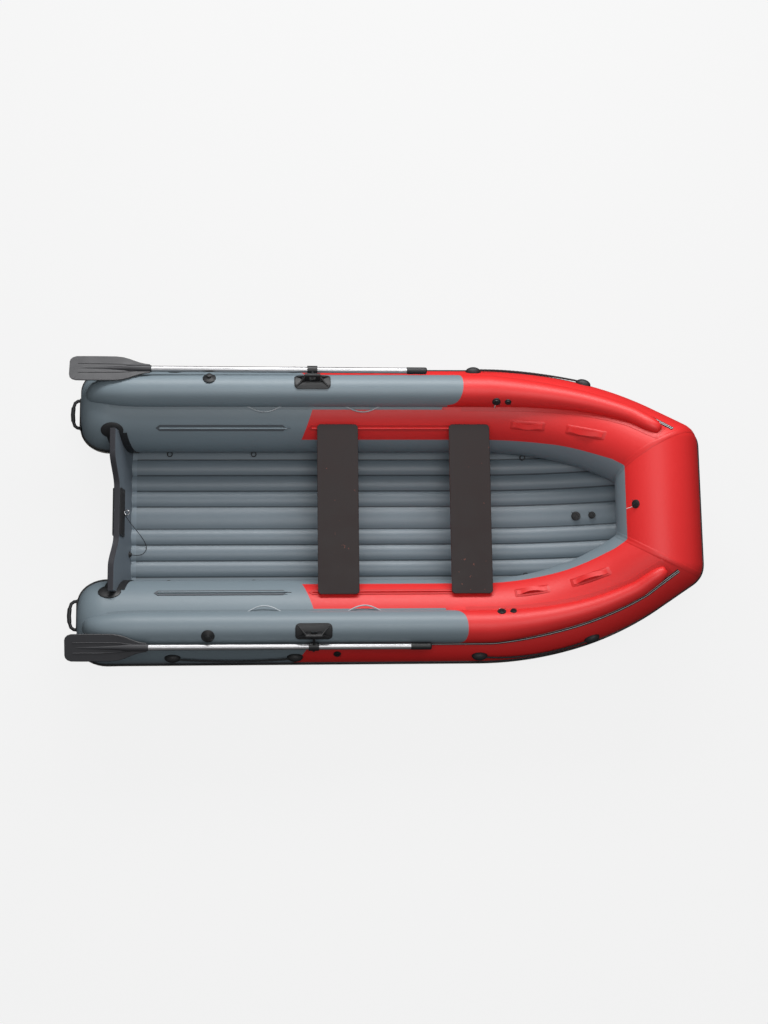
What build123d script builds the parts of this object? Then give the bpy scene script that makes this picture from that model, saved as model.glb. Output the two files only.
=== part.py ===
from build123d import *
import math
import os

# Inflatable motor boat, in millimetres. X runs forward to the bow, Y to port and Z up.
# The origin is on the ground, on the centreline, half way along the hull.

os.makedirs("parts", exist_ok=True)

# Main side tubes
tube_radius = 240.0
tube_centre_y = 625.0
stern_end_x = -1780.0
stern_taper = 165.0
stern_cap_radius = 112.0

# Bow, where both tubes bend inboard and rise to meet a straight cross tube
bend_start_x = 520.0
first_bend_radius = 1900.0
first_bend_length = 500.0
bow_heading = 34.0
bow_straight = 120.0
bow_centre_x = 1550.0
sheer_radius = 2000.0

# Bulwark lobes on top of the side tubes
lobe_radius = 93.0
lobe_angle = 13.8
lobe_rise = 20.0
lobe_aft_tip = 45.0
lobe_aft_length = 320.0
lobe_tip_radius = 22.0
lobe_fore_taper_x = 850.0
lobe_fore_radius = 52.0
lobe_fore_setback = 14.0

# Rubbing strake and joint tape
strake_height = 60.0
strake_proud = 10.0
strake_inner_reach = 195.0
tape_radius = 7.0
tape_start_x = -1400.0

# Air floor of longitudinal cells
floor_top = 150.0
floor_bottom = 30.0
centre_cell = 132.0
side_cell = 95.0
cells_a_side = 3
cell_crown = 17.0
floor_reach = 520.0
keel_width = 110.0
keel_thickness = 6.0

# Transom board with its motor plates
transom_foot_x = -1460.0
transom_rake = 12.0
transom_thickness = 34.0
transom_base = 42.0
transom_height = 490.0
transom_half_width = 470.0
notch_height = 398.0
notch_half_width = 225.0
notch_slope = 85.0
transom_corner = 26.0
plate_width = 280.0
plate_height = 160.0
plate_thickness = 9.0
plate_top_gap = 6.0
holder_band = 32.0
holder_thickness = 10.0
holder_top_reach = 34.0
holder_base = 70.0

# Seats that slide on bead rails
seat_length = 990.0
seat_width = 236.0
seat_thickness = 12.0
seat_corner = 22.0
aft_seat_x = -291.0
fore_seat_x = 473.0
rail_angle = 37.0
rail_width = 30.0
rail_thickness = 3.0
bead_radius = 4.5
slide_clearance = 0.5
seat_lift = 13.0
slider_length = 130.0
slider_width = 26.0
mid_rail_start_x = -440.0
mid_rail_end_x = 540.0
aft_rail_start_x = -1317.0
aft_rail_end_x = -582.0

# Oars and rowlocks
rowlock_x = -436.0
rowlock_angle = 28.0
rowlock_pad_length = 205.0
rowlock_pad_width = 92.0
rowlock_pad_thickness = 8.0
barrel_height = 32.0
barrel_radius = 11.0
barrel_length = 34.0
ear_thickness = 14.0
pin_radius = 4.0
pin_clearance = 0.05
ear_gap = 0.4
stem_length = 91.0
stem_drop = 56.0
stem_radius = 7.0
collar_radius = 24.0
collar_length = 58.0
shaft_radius = 17.0
shaft_slope = 1.2
grip_reach = 665.0
grip_length = 118.0
grip_radius = 20.0
blade_reach = 1370.0
blade_length = 440.0
blade_width = 160.0
blade_thickness = 9.0
blade_feather = 20.0
blade_socket_radius = 21.0
knob_radius = 9.0

# Small fittings
paddle_clip_x = -1023.0
paddle_clip_angle = 27.0
paddle_clip_radius = 40.0
paddle_clip_knob = 13.0
handle_span = 190.0
handle_reach = 44.0
handle_bar_radius = 8.0
handle_inboard = 35.0
handle_rise = 62.0
strap_span = 205.0
strap_height = 26.0
strap_radius = 4.0
aft_strap_xs = (-716.0, -147.0)
aft_strap_angle = -12.0
bow_strap_xs = (860.0, 1190.0)
bow_strap_angle = -38.0
valve_radius = 26.0
valve_height = 9.0
tube_valve_xs = (642.0, 710.0)
tube_valve_angle = -64.0
bow_valve_angle = 58.0
floor_valve_xs = (1115.0, 1205.0)
side_fitting_x = -270.0
side_fitting_angle = 70.0
rope_holder_xs = (-1236.0, -540.0, 518.0, 1110.0)
rope_holder_angle = 63.0
rope_holder_length = 92.0
rope_holder_width = 58.0
rope_holder_height = 30.0
eyelet_xs = (-1275.0, -780.0, 850.0)
eyelet_angle = -108.0
eyelet_radius = 14.0
eyelet_bar = 3.0
tow_ring_drop = 35.0
tow_pad_radius = 55.0
tow_pad_thickness = 6.0
tow_ring_radius = 30.0
tow_ring_bar = 5.0
drain_y = 215.0
drain_z = 205.0
drain_radius = 16.0
eyebolt_drop = 60.0
eyebolt_ring = 14.0
eyebolt_bar = 4.0


def sine(angle):
    return math.sin(math.radians(angle))


def cosine(angle):
    return math.cos(math.radians(angle))


# The centreline of the port tube: straight, two bends inboard with an arc upward, then straight to the corner.

first_bend_end_x = bend_start_x + first_bend_length
first_bend_angle = math.degrees(math.asin(first_bend_length / first_bend_radius))
second_bend_end_x = bow_centre_x - bow_straight
second_bend_length = second_bend_end_x - first_bend_end_x
second_bend_radius = second_bend_length / (sine(bow_heading) - sine(first_bend_angle))


def heading(x):
    """Angle inboard of the X axis, in degrees, of the centreline at the station x."""
    if x <= bend_start_x:
        return 0.0
    if x <= first_bend_end_x:
        return math.degrees(math.asin((x - bend_start_x) / first_bend_radius))
    if x <= second_bend_end_x:
        run = (x - first_bend_end_x) / second_bend_radius
        return math.degrees(math.asin(sine(first_bend_angle) + run))
    return bow_heading


def climb(x):
    """Angle above the ground, in degrees, of the sheer at the station x."""
    run = min(max(x, bend_start_x), second_bend_end_x) - bend_start_x
    return math.degrees(math.asin(run / sheer_radius))


def centre(x):
    """Point of the port tube's centreline at the station x."""
    inboard = 0.0
    if x > bend_start_x:
        turn = heading(min(x, first_bend_end_x))
        inboard += first_bend_radius * (1.0 - cosine(turn))
    if x > first_bend_end_x:
        turn = heading(min(x, second_bend_end_x))
        inboard += second_bend_radius * (cosine(first_bend_angle) - cosine(turn))
    past = max(x - second_bend_end_x, 0.0)
    inboard += past * math.tan(math.radians(bow_heading))
    up = sheer_radius * (1.0 - cosine(climb(x)))
    up += past * math.tan(math.radians(climb(x)))
    return Vector(x, tube_centre_y - inboard, tube_radius + up)


def tangent(x):
    """Unit vector along the port tube at the station x."""
    slope_in = math.tan(math.radians(heading(x)))
    slope_up = math.tan(math.radians(climb(x)))
    return Vector(1.0, -slope_in, slope_up).normalized()


bow_corner = centre(bow_centre_x)
athwart = Vector(0, -1, 0)


def level_frame(x):
    """Section plane at the station x: local x is level and outboard, local y is up."""
    along = tangent(x)
    outboard = Vector(0, 0, 1).cross(along)
    return Plane(origin=centre(x), x_dir=outboard, z_dir=along)


def corner_twist():
    """Turn that brings the side tube's seams to the cross tube's seams at the corner."""
    along = tangent(bow_centre_x)
    front = Vector(1, 0, 0)
    back = tube_radius * front.dot(along) / (1.0 + along.dot(athwart))
    meet = front * tube_radius - athwart * back
    radial = meet - along * meet.dot(along)
    return -math.degrees(math.asin(radial.dot(level_frame(bow_centre_x).y_dir) / tube_radius))


full_twist = corner_twist()


def frame(x):
    """Section plane at the station x, turned about the tube's axis as the seams run."""
    share = (min(max(x, bend_start_x), second_bend_end_x) - bend_start_x)
    share = share / (second_bend_end_x - bend_start_x)
    twist = full_twist * share * share
    level = level_frame(x)
    outboard = level.x_dir * cosine(twist) - level.y_dir * sine(twist)
    return Plane(origin=level.origin, x_dir=outboard, z_dir=level.z_dir)


mitre = Plane(origin=bow_corner, z_dir=tangent(bow_centre_x) + athwart)


def stations(x_from, x_to, count):
    return [x_from + (x_to - x_from) * i / (count - 1) for i in range(count)]


def skin(section, places):
    """Solid lofted through section(x) at each of the places along the tube."""
    return loft([frame(x) * section(x) for x in places])


def follow(section, x_from, x_to):
    """Solid of one section that runs along the tube from x_from to x_to."""
    start = min(x_from, bend_start_x)
    solid = None
    if x_from < bend_start_x:
        straight = min(x_to, bend_start_x) - x_from
        solid = extrude(frame(x_from) * section, amount=straight)
        start = bend_start_x
    else:
        start = x_from
    if x_to > bend_start_x:
        bent = skin(lambda x: section, stations(start, second_bend_end_x, 9))
        solid = bent if solid is None else solid + bent
        past = centre(x_to) - centre(second_bend_end_x)
        if x_to > second_bend_end_x:
            solid += extrude(frame(second_bend_end_x) * section, amount=past.length)
    return solid


def trim_at_mitre(solid, setback=0.0):
    return split(solid, bisect_by=mitre.offset(-setback), keep=Keep.BOTTOM)


def starboard(solid):
    return mirror(solid, about=Plane.XZ)


def at_angle(angle, distance):
    """Place in a section plane, by an angle from the top towards outboard."""
    return Pos(distance * sine(angle), distance * cosine(angle)) * Rot(0, 0, -angle)


def band(angle, width, low, high):
    """Section of a flat band wrapped on a circle, between two radii."""
    ring = Circle(high) - Circle(low)
    return ring & (at_angle(angle, tube_radius) * Rectangle(width, tube_radius))


def on_tube(x, angle, height=0.0):
    """Plane on the tube's skin: local x runs forward along the tube and z points outward."""
    place = frame(x)
    out = place.x_dir * sine(angle) + place.y_dir * cosine(angle)
    return Plane(origin=place.origin + out * (tube_radius + height), x_dir=place.z_dir, z_dir=out)


# Side tubes and bow tube


def stern_profile(grow):
    """Half outline of a stern cone and the straight tube, grown outward by a thickness."""
    end = stern_end_x - grow
    cap = stern_cap_radius + grow
    full = tube_radius + grow
    shoulder = stern_end_x + stern_taper
    outline = Line((end, 0), (end, cap))
    outline += EllipticalCenterArc((shoulder, cap), shoulder - end, full - cap, start_angle=90, arc_size=90)
    outline += Line((shoulder, full), (bend_start_x, full))
    outline += Line((bend_start_x, full), (bend_start_x, 0))
    outline += Line((bend_start_x, 0), (end, 0))
    return outline


def straight_tube(grow=0.0):
    """Stern cone and straight stretch of the port tube."""
    face = make_face(stern_profile(grow).edges())
    solid = revolve(face, Axis.X)
    return Pos(0, tube_centre_y, tube_radius) * solid


bow_overrun_x = bow_centre_x + tube_radius
tube_port = straight_tube() + follow(Circle(tube_radius), bend_start_x, bow_overrun_x)
tube_port = trim_at_mitre(tube_port)
tube_starboard = starboard(tube_port)

bow_span = 2.0 * (bow_corner.Y + tube_radius)


def across_bow(section):
    """Solid of one section that runs along the bow cross tube, mitred at both ends."""
    place = Plane(origin=(bow_centre_x, bow_span / 2.0, bow_corner.Z), x_dir=(1, 0, 0), z_dir=(0, -1, 0))
    solid = extrude(place * section, amount=bow_span)
    solid = split(solid, bisect_by=mitre, keep=Keep.TOP)
    return starboard(split(starboard(solid), bisect_by=mitre, keep=Keep.TOP))


tube_bow = across_bow(Circle(tube_radius))


# Bulwark lobes


def stern_radius(x):
    """Radius of the side tube at the station x, less in the stern cone."""
    gap = stern_end_x + stern_taper - x
    if gap <= 0.0:
        return tube_radius
    share = min(gap / stern_taper, 1.0)
    return stern_cap_radius + (tube_radius - stern_cap_radius) * math.sqrt(1.0 - share * share)


lobe_start_x = stern_end_x + lobe_aft_tip
lobe_full_x = lobe_start_x + lobe_aft_length


def lobe_size(x):
    """Radius of the bulwark lobe at the station x."""
    if x < lobe_full_x:
        share = (x - lobe_start_x) / lobe_aft_length
        return lobe_tip_radius + (lobe_radius - lobe_tip_radius) * math.sqrt(share * (2.0 - share))
    if x > lobe_fore_taper_x:
        share = (x - lobe_fore_taper_x) / (bow_centre_x - lobe_fore_taper_x)
        return lobe_radius - (lobe_radius - lobe_fore_radius) * share
    return lobe_radius


def lobe_distance(x):
    """Distance of the lobe's centre from the tube's centreline."""
    return stern_radius(x) + lobe_rise * lobe_size(x) / lobe_radius


def lobe_section(x):
    return at_angle(lobe_angle, lobe_distance(x)) * Circle(lobe_size(x))


def lobe_foot(x):
    """Angle at which the lobe's outer side meets the tube."""
    far = lobe_distance(x)
    share = (tube_radius**2 + far**2 - lobe_size(x) ** 2) / (2.0 * tube_radius * far)
    return lobe_angle + math.degrees(math.acos(share))


bulwark_port = skin(lobe_section, stations(lobe_start_x, lobe_full_x, 6))
bulwark_port += extrude(frame(lobe_full_x) * lobe_section(lobe_full_x), amount=bend_start_x - lobe_full_x)
bulwark_port += skin(lobe_section, stations(bend_start_x, bow_overrun_x, 10))
bulwark_port = trim_at_mitre(bulwark_port, lobe_fore_setback)
bulwark_port -= tube_port


def on_lobe(x, angle, height=0.0):
    """Plane on the lobe's skin: local x runs forward and z points outward."""
    place = frame(x)
    middle = place.origin
    middle += place.x_dir * (lobe_distance(x) * sine(lobe_angle))
    middle += place.y_dir * (lobe_distance(x) * cosine(lobe_angle))
    out = place.x_dir * sine(angle) + place.y_dir * cosine(angle)
    return Plane(origin=middle + out * (lobe_size(x) + height), x_dir=place.z_dir, z_dir=out)


# Rubbing strake, round the stern cone, along the side and across the bow

strake_bite = 5.0
strake_section = band(90.0, strake_height, tube_radius - strake_bite, tube_radius + strake_proud)

wrap = straight_tube(strake_proud)
wrap_length = bend_start_x - stern_end_x + 2.0 * strake_proud
wrap_centre_x = (bend_start_x + stern_end_x) / 2.0
wrap &= Pos(wrap_centre_x, tube_centre_y, tube_radius) * Box(wrap_length, 4.0 * tube_radius, strake_height)
inner_start = stern_end_x + strake_inner_reach
wrap -= Pos(inner_start, tube_centre_y, 0) * Box(
    wrap_length, 2.0 * tube_radius, 4.0 * tube_radius, align=(Align.MIN, Align.MAX, Align.CENTER)
)
strake_port = wrap + follow(strake_section, bend_start_x, bow_overrun_x)
strake_port = trim_at_mitre(strake_port) - tube_port
strake_bow = across_bow(strake_section) - tube_bow

# Joint tape at the lobe's outer foot


def tape_section(x):
    return at_angle(lobe_foot(x), tube_radius) * Circle(tape_radius)


tape_port = extrude(frame(tape_start_x) * tape_section(tape_start_x), amount=bend_start_x - tape_start_x)
tape_port += skin(tape_section, stations(bend_start_x, bow_overrun_x, 10))
tape_port = trim_at_mitre(tape_port) - tube_port - bulwark_port

# Transom board, leaning aft

lean = Plane(
    origin=(transom_foot_x, 0, 0),
    x_dir=(0, 1, 0),
    z_dir=(cosine(transom_rake), 0, sine(transom_rake)),
)


def leaning(height):
    """Distance up the board for a height above the ground."""
    return height / cosine(transom_rake)


def transom_outline():
    top = leaning(transom_height)
    notch = leaning(notch_height)
    base = leaning(transom_base)
    half = [
        (notch_half_width, notch),
        (notch_half_width + notch_slope, top),
        (transom_half_width, top),
        (transom_half_width, base),
    ]
    other = [(-y, v) for y, v in reversed(half)]
    face = make_face(Polyline(*half, *other, close=True).edges())
    corners = face.vertices().filter_by_position(Axis.Y, notch - 1.0, top + 1.0)
    return fillet(corners, transom_corner)


transom = extrude(lean * transom_outline(), amount=-transom_thickness)
transom -= tube_port + tube_starboard

plate_middle = leaning(notch_height) - plate_top_gap - plate_height / 2.0
plate_shape = Pos(0, plate_middle) * RectangleRounded(plate_width, plate_height, transom_corner / 2.0)
motor_plate_inner = extrude(lean * plate_shape, amount=plate_thickness)
motor_plate_aft = extrude(lean.offset(-transom_thickness) * plate_shape, amount=-plate_thickness)

# Air floor, straight and then rising with the sheer


def cell_line():
    """Places across the boat where the floor's cells meet, from port to starboard."""
    half = [centre_cell / 2.0 + side_cell * i for i in range(cells_a_side + 1)]
    return [-y for y in reversed(half)] + half


def floor_section():
    """Outline across the boat: crowned cells on top and beneath."""
    places = cell_line()
    outline = Line((-floor_reach, floor_top), (places[0], floor_top))
    for left, right in zip(places, places[1:]):
        crown = ((left + right) / 2.0, floor_top + cell_crown)
        outline += ThreePointArc((left, floor_top), crown, (right, floor_top))
    outline += Line((places[-1], floor_top), (floor_reach, floor_top))
    outline += Line((floor_reach, floor_top), (floor_reach, floor_bottom))
    outline += Line((floor_reach, floor_bottom), (places[-1], floor_bottom))
    for left, right in zip(reversed(places[:-1]), reversed(places[1:])):
        crown = ((left + right) / 2.0, floor_bottom - cell_crown)
        outline += ThreePointArc((right, floor_bottom), crown, (left, floor_bottom))
    outline += Line((places[0], floor_bottom), (-floor_reach, floor_bottom))
    outline += Line((-floor_reach, floor_bottom), (-floor_reach, floor_top))
    return make_face(outline.edges())


def rising(section, start_x):
    """Solid of one section across the boat, along the ground and then up the sheer."""
    place = Plane(origin=(bend_start_x, 0, 0), x_dir=(0, 1, 0), z_dir=(1, 0, 0))
    hub = Axis((bend_start_x, 0, tube_radius + sheer_radius), (0, -1, 0))
    solid = extrude(place * section, amount=start_x - bend_start_x)
    return solid + revolve(place * section, hub, climb(bow_centre_x) + 6.0)


def cockpit_plan():
    """Plan of the space between the tubes' centrelines."""
    edge = stations(bend_start_x, second_bend_end_x, 8)
    side = [(x, centre(x).Y) for x in edge] + [(bow_centre_x, bow_corner.Y)]
    aft = transom_foot_x - 2.0 * tube_radius
    points = [(aft, tube_centre_y)] + side
    points += [(x, -y) for x, y in reversed(points)]
    return make_face(Polyline(*points, close=True).edges())


floor = rising(floor_section(), transom_foot_x - tube_radius)
floor &= extrude(cockpit_plan(), amount=bow_corner.Z + tube_radius)
floor = split(floor, bisect_by=lean, keep=Keep.TOP)
floor -= tube_port
floor -= tube_starboard
floor -= tube_bow
floor = floor.solids().sort_by(SortBy.VOLUME)[-1]

keel_low = floor_bottom - cell_crown - keel_thickness
keel_section = Pos(0, keel_low + keel_thickness) * Rectangle(keel_width, 2.0 * keel_thickness)
keel = rising(keel_section, transom_foot_x)
keel = split(keel, bisect_by=lean, keep=Keep.TOP) - floor
keel -= tube_bow
keel = keel.solids().sort_by(SortBy.VOLUME)[-1]

# Transom holders, bands on the tubes on both faces of the board


def transom_holder():
    """Band on the port tube that grips the end of the board."""
    shell = Pos(lean.origin.X, tube_centre_y, tube_radius) * Rot(0, 90, 0) * (
        Cylinder(tube_radius + holder_thickness, 4.0 * tube_radius) - Cylinder(tube_radius, 4.0 * tube_radius)
    )
    depth = transom_thickness + 2.0 * holder_band
    width = transom_half_width + holder_top_reach
    slab = Pos(0, leaning(holder_base), holder_band) * Box(
        2.0 * width, leaning(transom_height), depth, align=(Align.CENTER, Align.MIN, Align.MAX)
    )
    return (shell & (lean * slab)) - transom - floor


holder_port = transom_holder()

# Seats


def rail(x_from, x_to):
    """Bead rail on the port tube's inner top."""
    base = band(-rail_angle, rail_width, tube_radius - rail_thickness, tube_radius + rail_thickness)
    bead = at_angle(-rail_angle, tube_radius + rail_thickness + bead_radius) * Circle(bead_radius)
    neck = at_angle(-rail_angle, tube_radius + rail_thickness) * Rectangle(bead_radius, 2.0 * bead_radius)
    return extrude(frame(x_from) * (base + neck + bead), amount=x_to - x_from) - tube_port


mid_rail_port = rail(mid_rail_start_x, mid_rail_end_x)
aft_rail_port = rail(aft_rail_start_x, aft_rail_end_x)

rail_y = tube_centre_y - tube_radius * sine(rail_angle)
rail_z = tube_radius + tube_radius * cosine(rail_angle)
seat_base = rail_z + rail_thickness + 2.0 * bead_radius + seat_lift


def seat_board(x):
    outline = RectangleRounded(seat_width, seat_length, seat_corner)
    board = extrude(Pos(x, 0, seat_base) * outline, amount=seat_thickness)
    return chamfer(board.faces().sort_by(Axis.Z)[-1].edges(), 1.5)


def slider_section():
    """Hook under the board that runs on the port rail's bead."""
    depth = seat_base - rail_z
    y = rail_y - (rail_thickness + bead_radius) * sine(rail_angle)
    block = Pos(y, seat_base - depth / 2.0) * Rectangle(slider_width, depth)
    block -= Pos(tube_centre_y, tube_radius) * Circle(tube_radius + rail_thickness + slide_clearance)
    hub = Pos(tube_centre_y, tube_radius) * at_angle(-rail_angle, tube_radius + rail_thickness + bead_radius)
    return block - hub * Circle(bead_radius + slide_clearance)


def seat_sliders(x):
    """Both sliders of one seat, as a pair of solids."""
    place = Plane(origin=(x - slider_length / 2.0, 0, 0), x_dir=(0, 1, 0), z_dir=(1, 0, 0))
    solid = extrude(place * slider_section(), amount=slider_length).solids().sort_by(SortBy.VOLUME)[-1]
    return Compound(children=[solid, starboard(solid)])


# Rowlock, oar and its blade

rowlock = on_lobe(rowlock_x, rowlock_angle, rowlock_pad_thickness + barrel_height)
barrel_y = rowlock.origin.Y
barrel_z = rowlock.origin.Z


def across_x(y, z, radius, length, x=0.0):
    """Round bar along X."""
    return Pos(x, y, z) * Rot(0, 90, 0) * Cylinder(radius, length)


def rowlock_base():
    """Curved pad on the lobe with two ears and the hinge pin."""
    hub = on_lobe(rowlock_x, rowlock_angle, -lobe_radius).origin
    pad = across_x(hub.Y, hub.Z, lobe_radius + rowlock_pad_thickness, rowlock_pad_length, rowlock_x)
    pad -= across_x(hub.Y, hub.Z, lobe_radius, 2.0 * rowlock_pad_length, rowlock_x)
    footprint = RectangleRounded(rowlock_pad_length, rowlock_pad_width, rowlock_pad_thickness)
    pad &= extrude(on_lobe(rowlock_x, rowlock_angle, -lobe_radius / 2.0) * footprint, amount=lobe_radius)
    ear_x = (barrel_length + ear_thickness) / 2.0 + ear_gap
    ears = across_x(barrel_y, barrel_z, pin_radius, 2.0 * ear_x + ear_thickness, rowlock_x)
    for sign in (-1.0, 1.0):
        x = rowlock_x + sign * ear_x
        ears += across_x(barrel_y, barrel_z, barrel_radius, ear_thickness, x)
        leg = Pos(sign * ear_x, 0, 0) * Box(
            ear_thickness,
            2.0 * barrel_radius,
            barrel_height + rowlock_pad_thickness,
            align=(Align.CENTER, Align.CENTER, Align.MAX),
        )
        ears += rowlock * leg
    ears -= across_x(hub.Y, hub.Z, lobe_radius, 2.0 * rowlock_pad_length, rowlock_x)
    return pad + ears


shaft_y = barrel_y + stem_length * cosine(stem_drop)
shaft_z = barrel_z - stem_length * sine(stem_drop)
oar_frame = Plane(
    origin=(rowlock_x, shaft_y, shaft_z),
    x_dir=(cosine(shaft_slope), 0, -sine(shaft_slope)),
    z_dir=(sine(shaft_slope), 0, cosine(shaft_slope)),
)
shaft_bore = shaft_radius + pin_clearance


def oar_bar(radius, x_from, x_to):
    """Round bar on the oar's axis."""
    bar = Cylinder(radius, x_to - x_from, align=(Align.CENTER, Align.CENTER, Align.MIN))
    return oar_frame * (Pos(x_from, 0, 0) * Rot(0, 90, 0) * bar)


def rowlock_yoke():
    """Knuckle, stem and collar that carry the oar."""
    knuckle = across_x(barrel_y, barrel_z, barrel_radius, barrel_length, rowlock_x)
    stem_plane = Plane(
        origin=(rowlock_x, barrel_y, barrel_z),
        x_dir=(1, 0, 0),
        z_dir=(0, cosine(stem_drop), -sine(stem_drop)),
    )
    stem = extrude(stem_plane * Circle(stem_radius), amount=stem_length)
    reach = stem_length + collar_radius + knob_radius
    knob = stem_plane * (Pos(0, 0, reach) * Sphere(knob_radius))
    pin = extrude(stem_plane * Circle(knob_radius / 2.0), amount=reach)
    collar = oar_bar(collar_radius, -collar_length / 2.0, collar_length / 2.0)
    solid = knuckle + stem + collar + pin + knob
    solid -= across_x(barrel_y, barrel_z, pin_radius + pin_clearance, 2.0 * barrel_length, rowlock_x)
    return solid - oar_bar(shaft_radius, -collar_length, collar_length)


def blade_outline():
    half = blade_width / 2.0
    tip = -blade_reach
    neck = tip + blade_length
    shoulder = tip + blade_length * 0.62
    outline = Spline((tip, 0), (tip + half * 0.35, half * 0.86), (shoulder, half), (neck, blade_socket_radius))
    outline += mirror(outline, about=Plane.XZ)
    outline += Line((neck, blade_socket_radius), (neck, -blade_socket_radius))
    return make_face(outline.edges())


def oar_blade():
    """Flat blade with a socket for the shaft and three ribs."""
    neck = blade_length - blade_reach
    socket_length = blade_length * 0.45
    blade = Pos(0, 0, -blade_thickness / 2.0) * extrude(blade_outline(), amount=blade_thickness)
    blade = oar_frame * (Rot(-blade_feather, 0, 0) * blade)
    blade += oar_bar(blade_socket_radius, neck - socket_length, neck + collar_length)
    return blade - oar_bar(shaft_radius, neck - socket_length / 2.0, 0.0)


def oar_shaft():
    neck = blade_length - blade_reach
    return oar_bar(shaft_radius, neck - blade_length * 0.45 / 2.0, grip_reach - grip_length / 2.0)


def oar_grip():
    solid = oar_bar(grip_radius, grip_reach - grip_length, grip_reach)
    solid -= oar_bar(shaft_radius, 0.0, grip_reach - grip_length / 2.0)
    rim = solid.edges().filter_by(GeomType.CIRCLE).sort_by(Axis.X)[-1]
    return fillet(rim, grip_radius / 2.0)


# Small fittings


def paddle_clip():
    """Round base on the lobe with the knob that the oar's strap hooks on."""
    base = on_lobe(paddle_clip_x, paddle_clip_angle, -lobe_radius / 2.0)
    solid = extrude(base * Circle(paddle_clip_radius), amount=lobe_radius)
    hub = on_lobe(paddle_clip_x, paddle_clip_angle, -lobe_radius).origin
    solid &= across_x(hub.Y, hub.Z, lobe_radius + rowlock_pad_thickness, 4.0 * paddle_clip_radius, paddle_clip_x)
    solid -= across_x(hub.Y, hub.Z, lobe_radius, 4.0 * paddle_clip_radius, paddle_clip_x)
    top = on_lobe(paddle_clip_x, paddle_clip_angle, rowlock_pad_thickness / 2.0)
    return solid + extrude(top * Circle(paddle_clip_knob), amount=2.0 * rowlock_pad_thickness)


def stern_handle():
    """Arched grip on two feet, on the flat end of the stern cone."""
    y = tube_centre_y - handle_inboard
    z = tube_radius + handle_rise
    half = handle_span / 2.0
    place = Plane(origin=(stern_end_x, y, z), x_dir=(0, 1, 0), z_dir=(0, 0, 1))
    feet = half * 0.7
    path = FilletPolyline(
        (-feet, -10.0), (-feet, handle_reach), (feet, handle_reach), (feet, -10.0), radius=handle_reach / 2.0
    )
    path = place * path
    start = Plane(origin=path @ 0, z_dir=path % 0)
    grip = sweep(start * Circle(handle_bar_radius), path=path)
    pads = None
    for sign in (-1.0, 1.0):
        pad = Pos(stern_end_x, y + sign * feet, z) * Rot(0, 90, 0) * Cylinder(
            handle_bar_radius * 2.2, handle_bar_radius * 2.0
        )
        pads = pad if pads is None else pads + pad
    return grip + pads - straight_tube()


def strap_handle(place):
    """Low standing arc of webbing on the skin, with a patch at each end."""
    half = strap_span / 2.0
    path = ThreePointArc((-half, 0.0), (0.0, strap_height), (half, 0.0))
    wall = Plane(origin=place.origin, x_dir=place.x_dir, z_dir=place.x_dir.cross(place.z_dir))
    path = wall * path
    start = Plane(origin=path @ 0, z_dir=path % 0)
    return sweep(start * Circle(strap_radius), path=path)


def disc(place, radius, height, sunk):
    """Low round boss on a curved skin, reaching a little into it before it is trimmed."""
    solid = extrude(place.offset(-sunk) * Circle(radius), amount=height + sunk)
    rim = solid.faces().filter_by(GeomType.PLANE)
    top = max(rim, key=lambda face: (face.center() - place.origin).dot(place.z_dir))
    return fillet(top.edges(), height / 3.0)


def rope_holder(place):
    """Half dome of rubber, longer along the tube."""
    dome = Sphere(1.0)
    dome = scale(dome, by=(rope_holder_length / 2.0, rope_holder_width / 2.0, rope_holder_height))
    return place * dome - tube_port


def eyelet(place):
    ring = Torus(eyelet_radius, eyelet_bar)
    stand = Pos(0, 0, eyelet_radius + eyelet_bar) * Rot(90, 0, 0) * ring
    return place.offset(-eyelet_bar) * stand - tube_port


def tow_ring():
    """Round pad and a hanging ring below the bow."""
    place = Plane(
        origin=(
            bow_centre_x + tube_radius * cosine(tow_ring_drop),
            0,
            bow_corner.Z - tube_radius * sine(tow_ring_drop),
        ),
        x_dir=(0, 1, 0),
        z_dir=(cosine(tow_ring_drop), 0, -sine(tow_ring_drop)),
    )
    pad = disc(place, tow_pad_radius, tow_pad_thickness + eyelet_bar, tow_pad_thickness) - tube_bow
    ring = place * (Pos(0, 0, tow_ring_radius + tow_pad_thickness) * Rot(90, 0, 0) * Torus(tow_ring_radius, tow_ring_bar))
    return pad + ring - tube_bow


def write(name, solid):
    export_step(solid, "parts/" + name + ".step")
    print(name, round(solid.volume / 1e6, 3), "litres")


def pair(name, solid):
    """Write a piece of the port side and its mirrored twin."""
    write(name + "_port", solid)
    write(name + "_starboard", starboard(solid))


def group(solids):
    return Compound(children=[s for solid in solids for s in solid.solids()])


pair("tube", tube_port)
write("tube_bow", tube_bow)
pair("bulwark", bulwark_port)
pair("strake", strake_port)
write("strake_bow", strake_bow)
pair("joint_tape", tape_port)
write("air_floor", floor)
write("keel_strip", keel)
write("transom", transom)
write("motor_plate_inner", motor_plate_inner)
write("motor_plate_aft", motor_plate_aft)
pair("transom_holder", holder_port)
pair("mid_rail", mid_rail_port)
pair("aft_rail", aft_rail_port)
write("seat_board_aft", seat_board(aft_seat_x))
write("seat_board_fore", seat_board(fore_seat_x))
write("seat_sliders_aft", seat_sliders(aft_seat_x))
write("seat_sliders_fore", seat_sliders(fore_seat_x))
pair("rowlock_base", rowlock_base())
pair("rowlock_yoke", rowlock_yoke())
pair("oar_shaft", oar_shaft())
pair("oar_blade", oar_blade())
pair("oar_grip", oar_grip())
pair("paddle_clip", paddle_clip())
pair("stern_handle", stern_handle())
strap_sink = strap_radius
pair("strap_aft", group([
    strap_handle(on_tube(x, aft_strap_angle, 0.0)) - tube_port for x in aft_strap_xs
]))
pair("strap_bow", group([
    strap_handle(on_tube(x, bow_strap_angle, 0.0)) - tube_port for x in bow_strap_xs
]))
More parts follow.
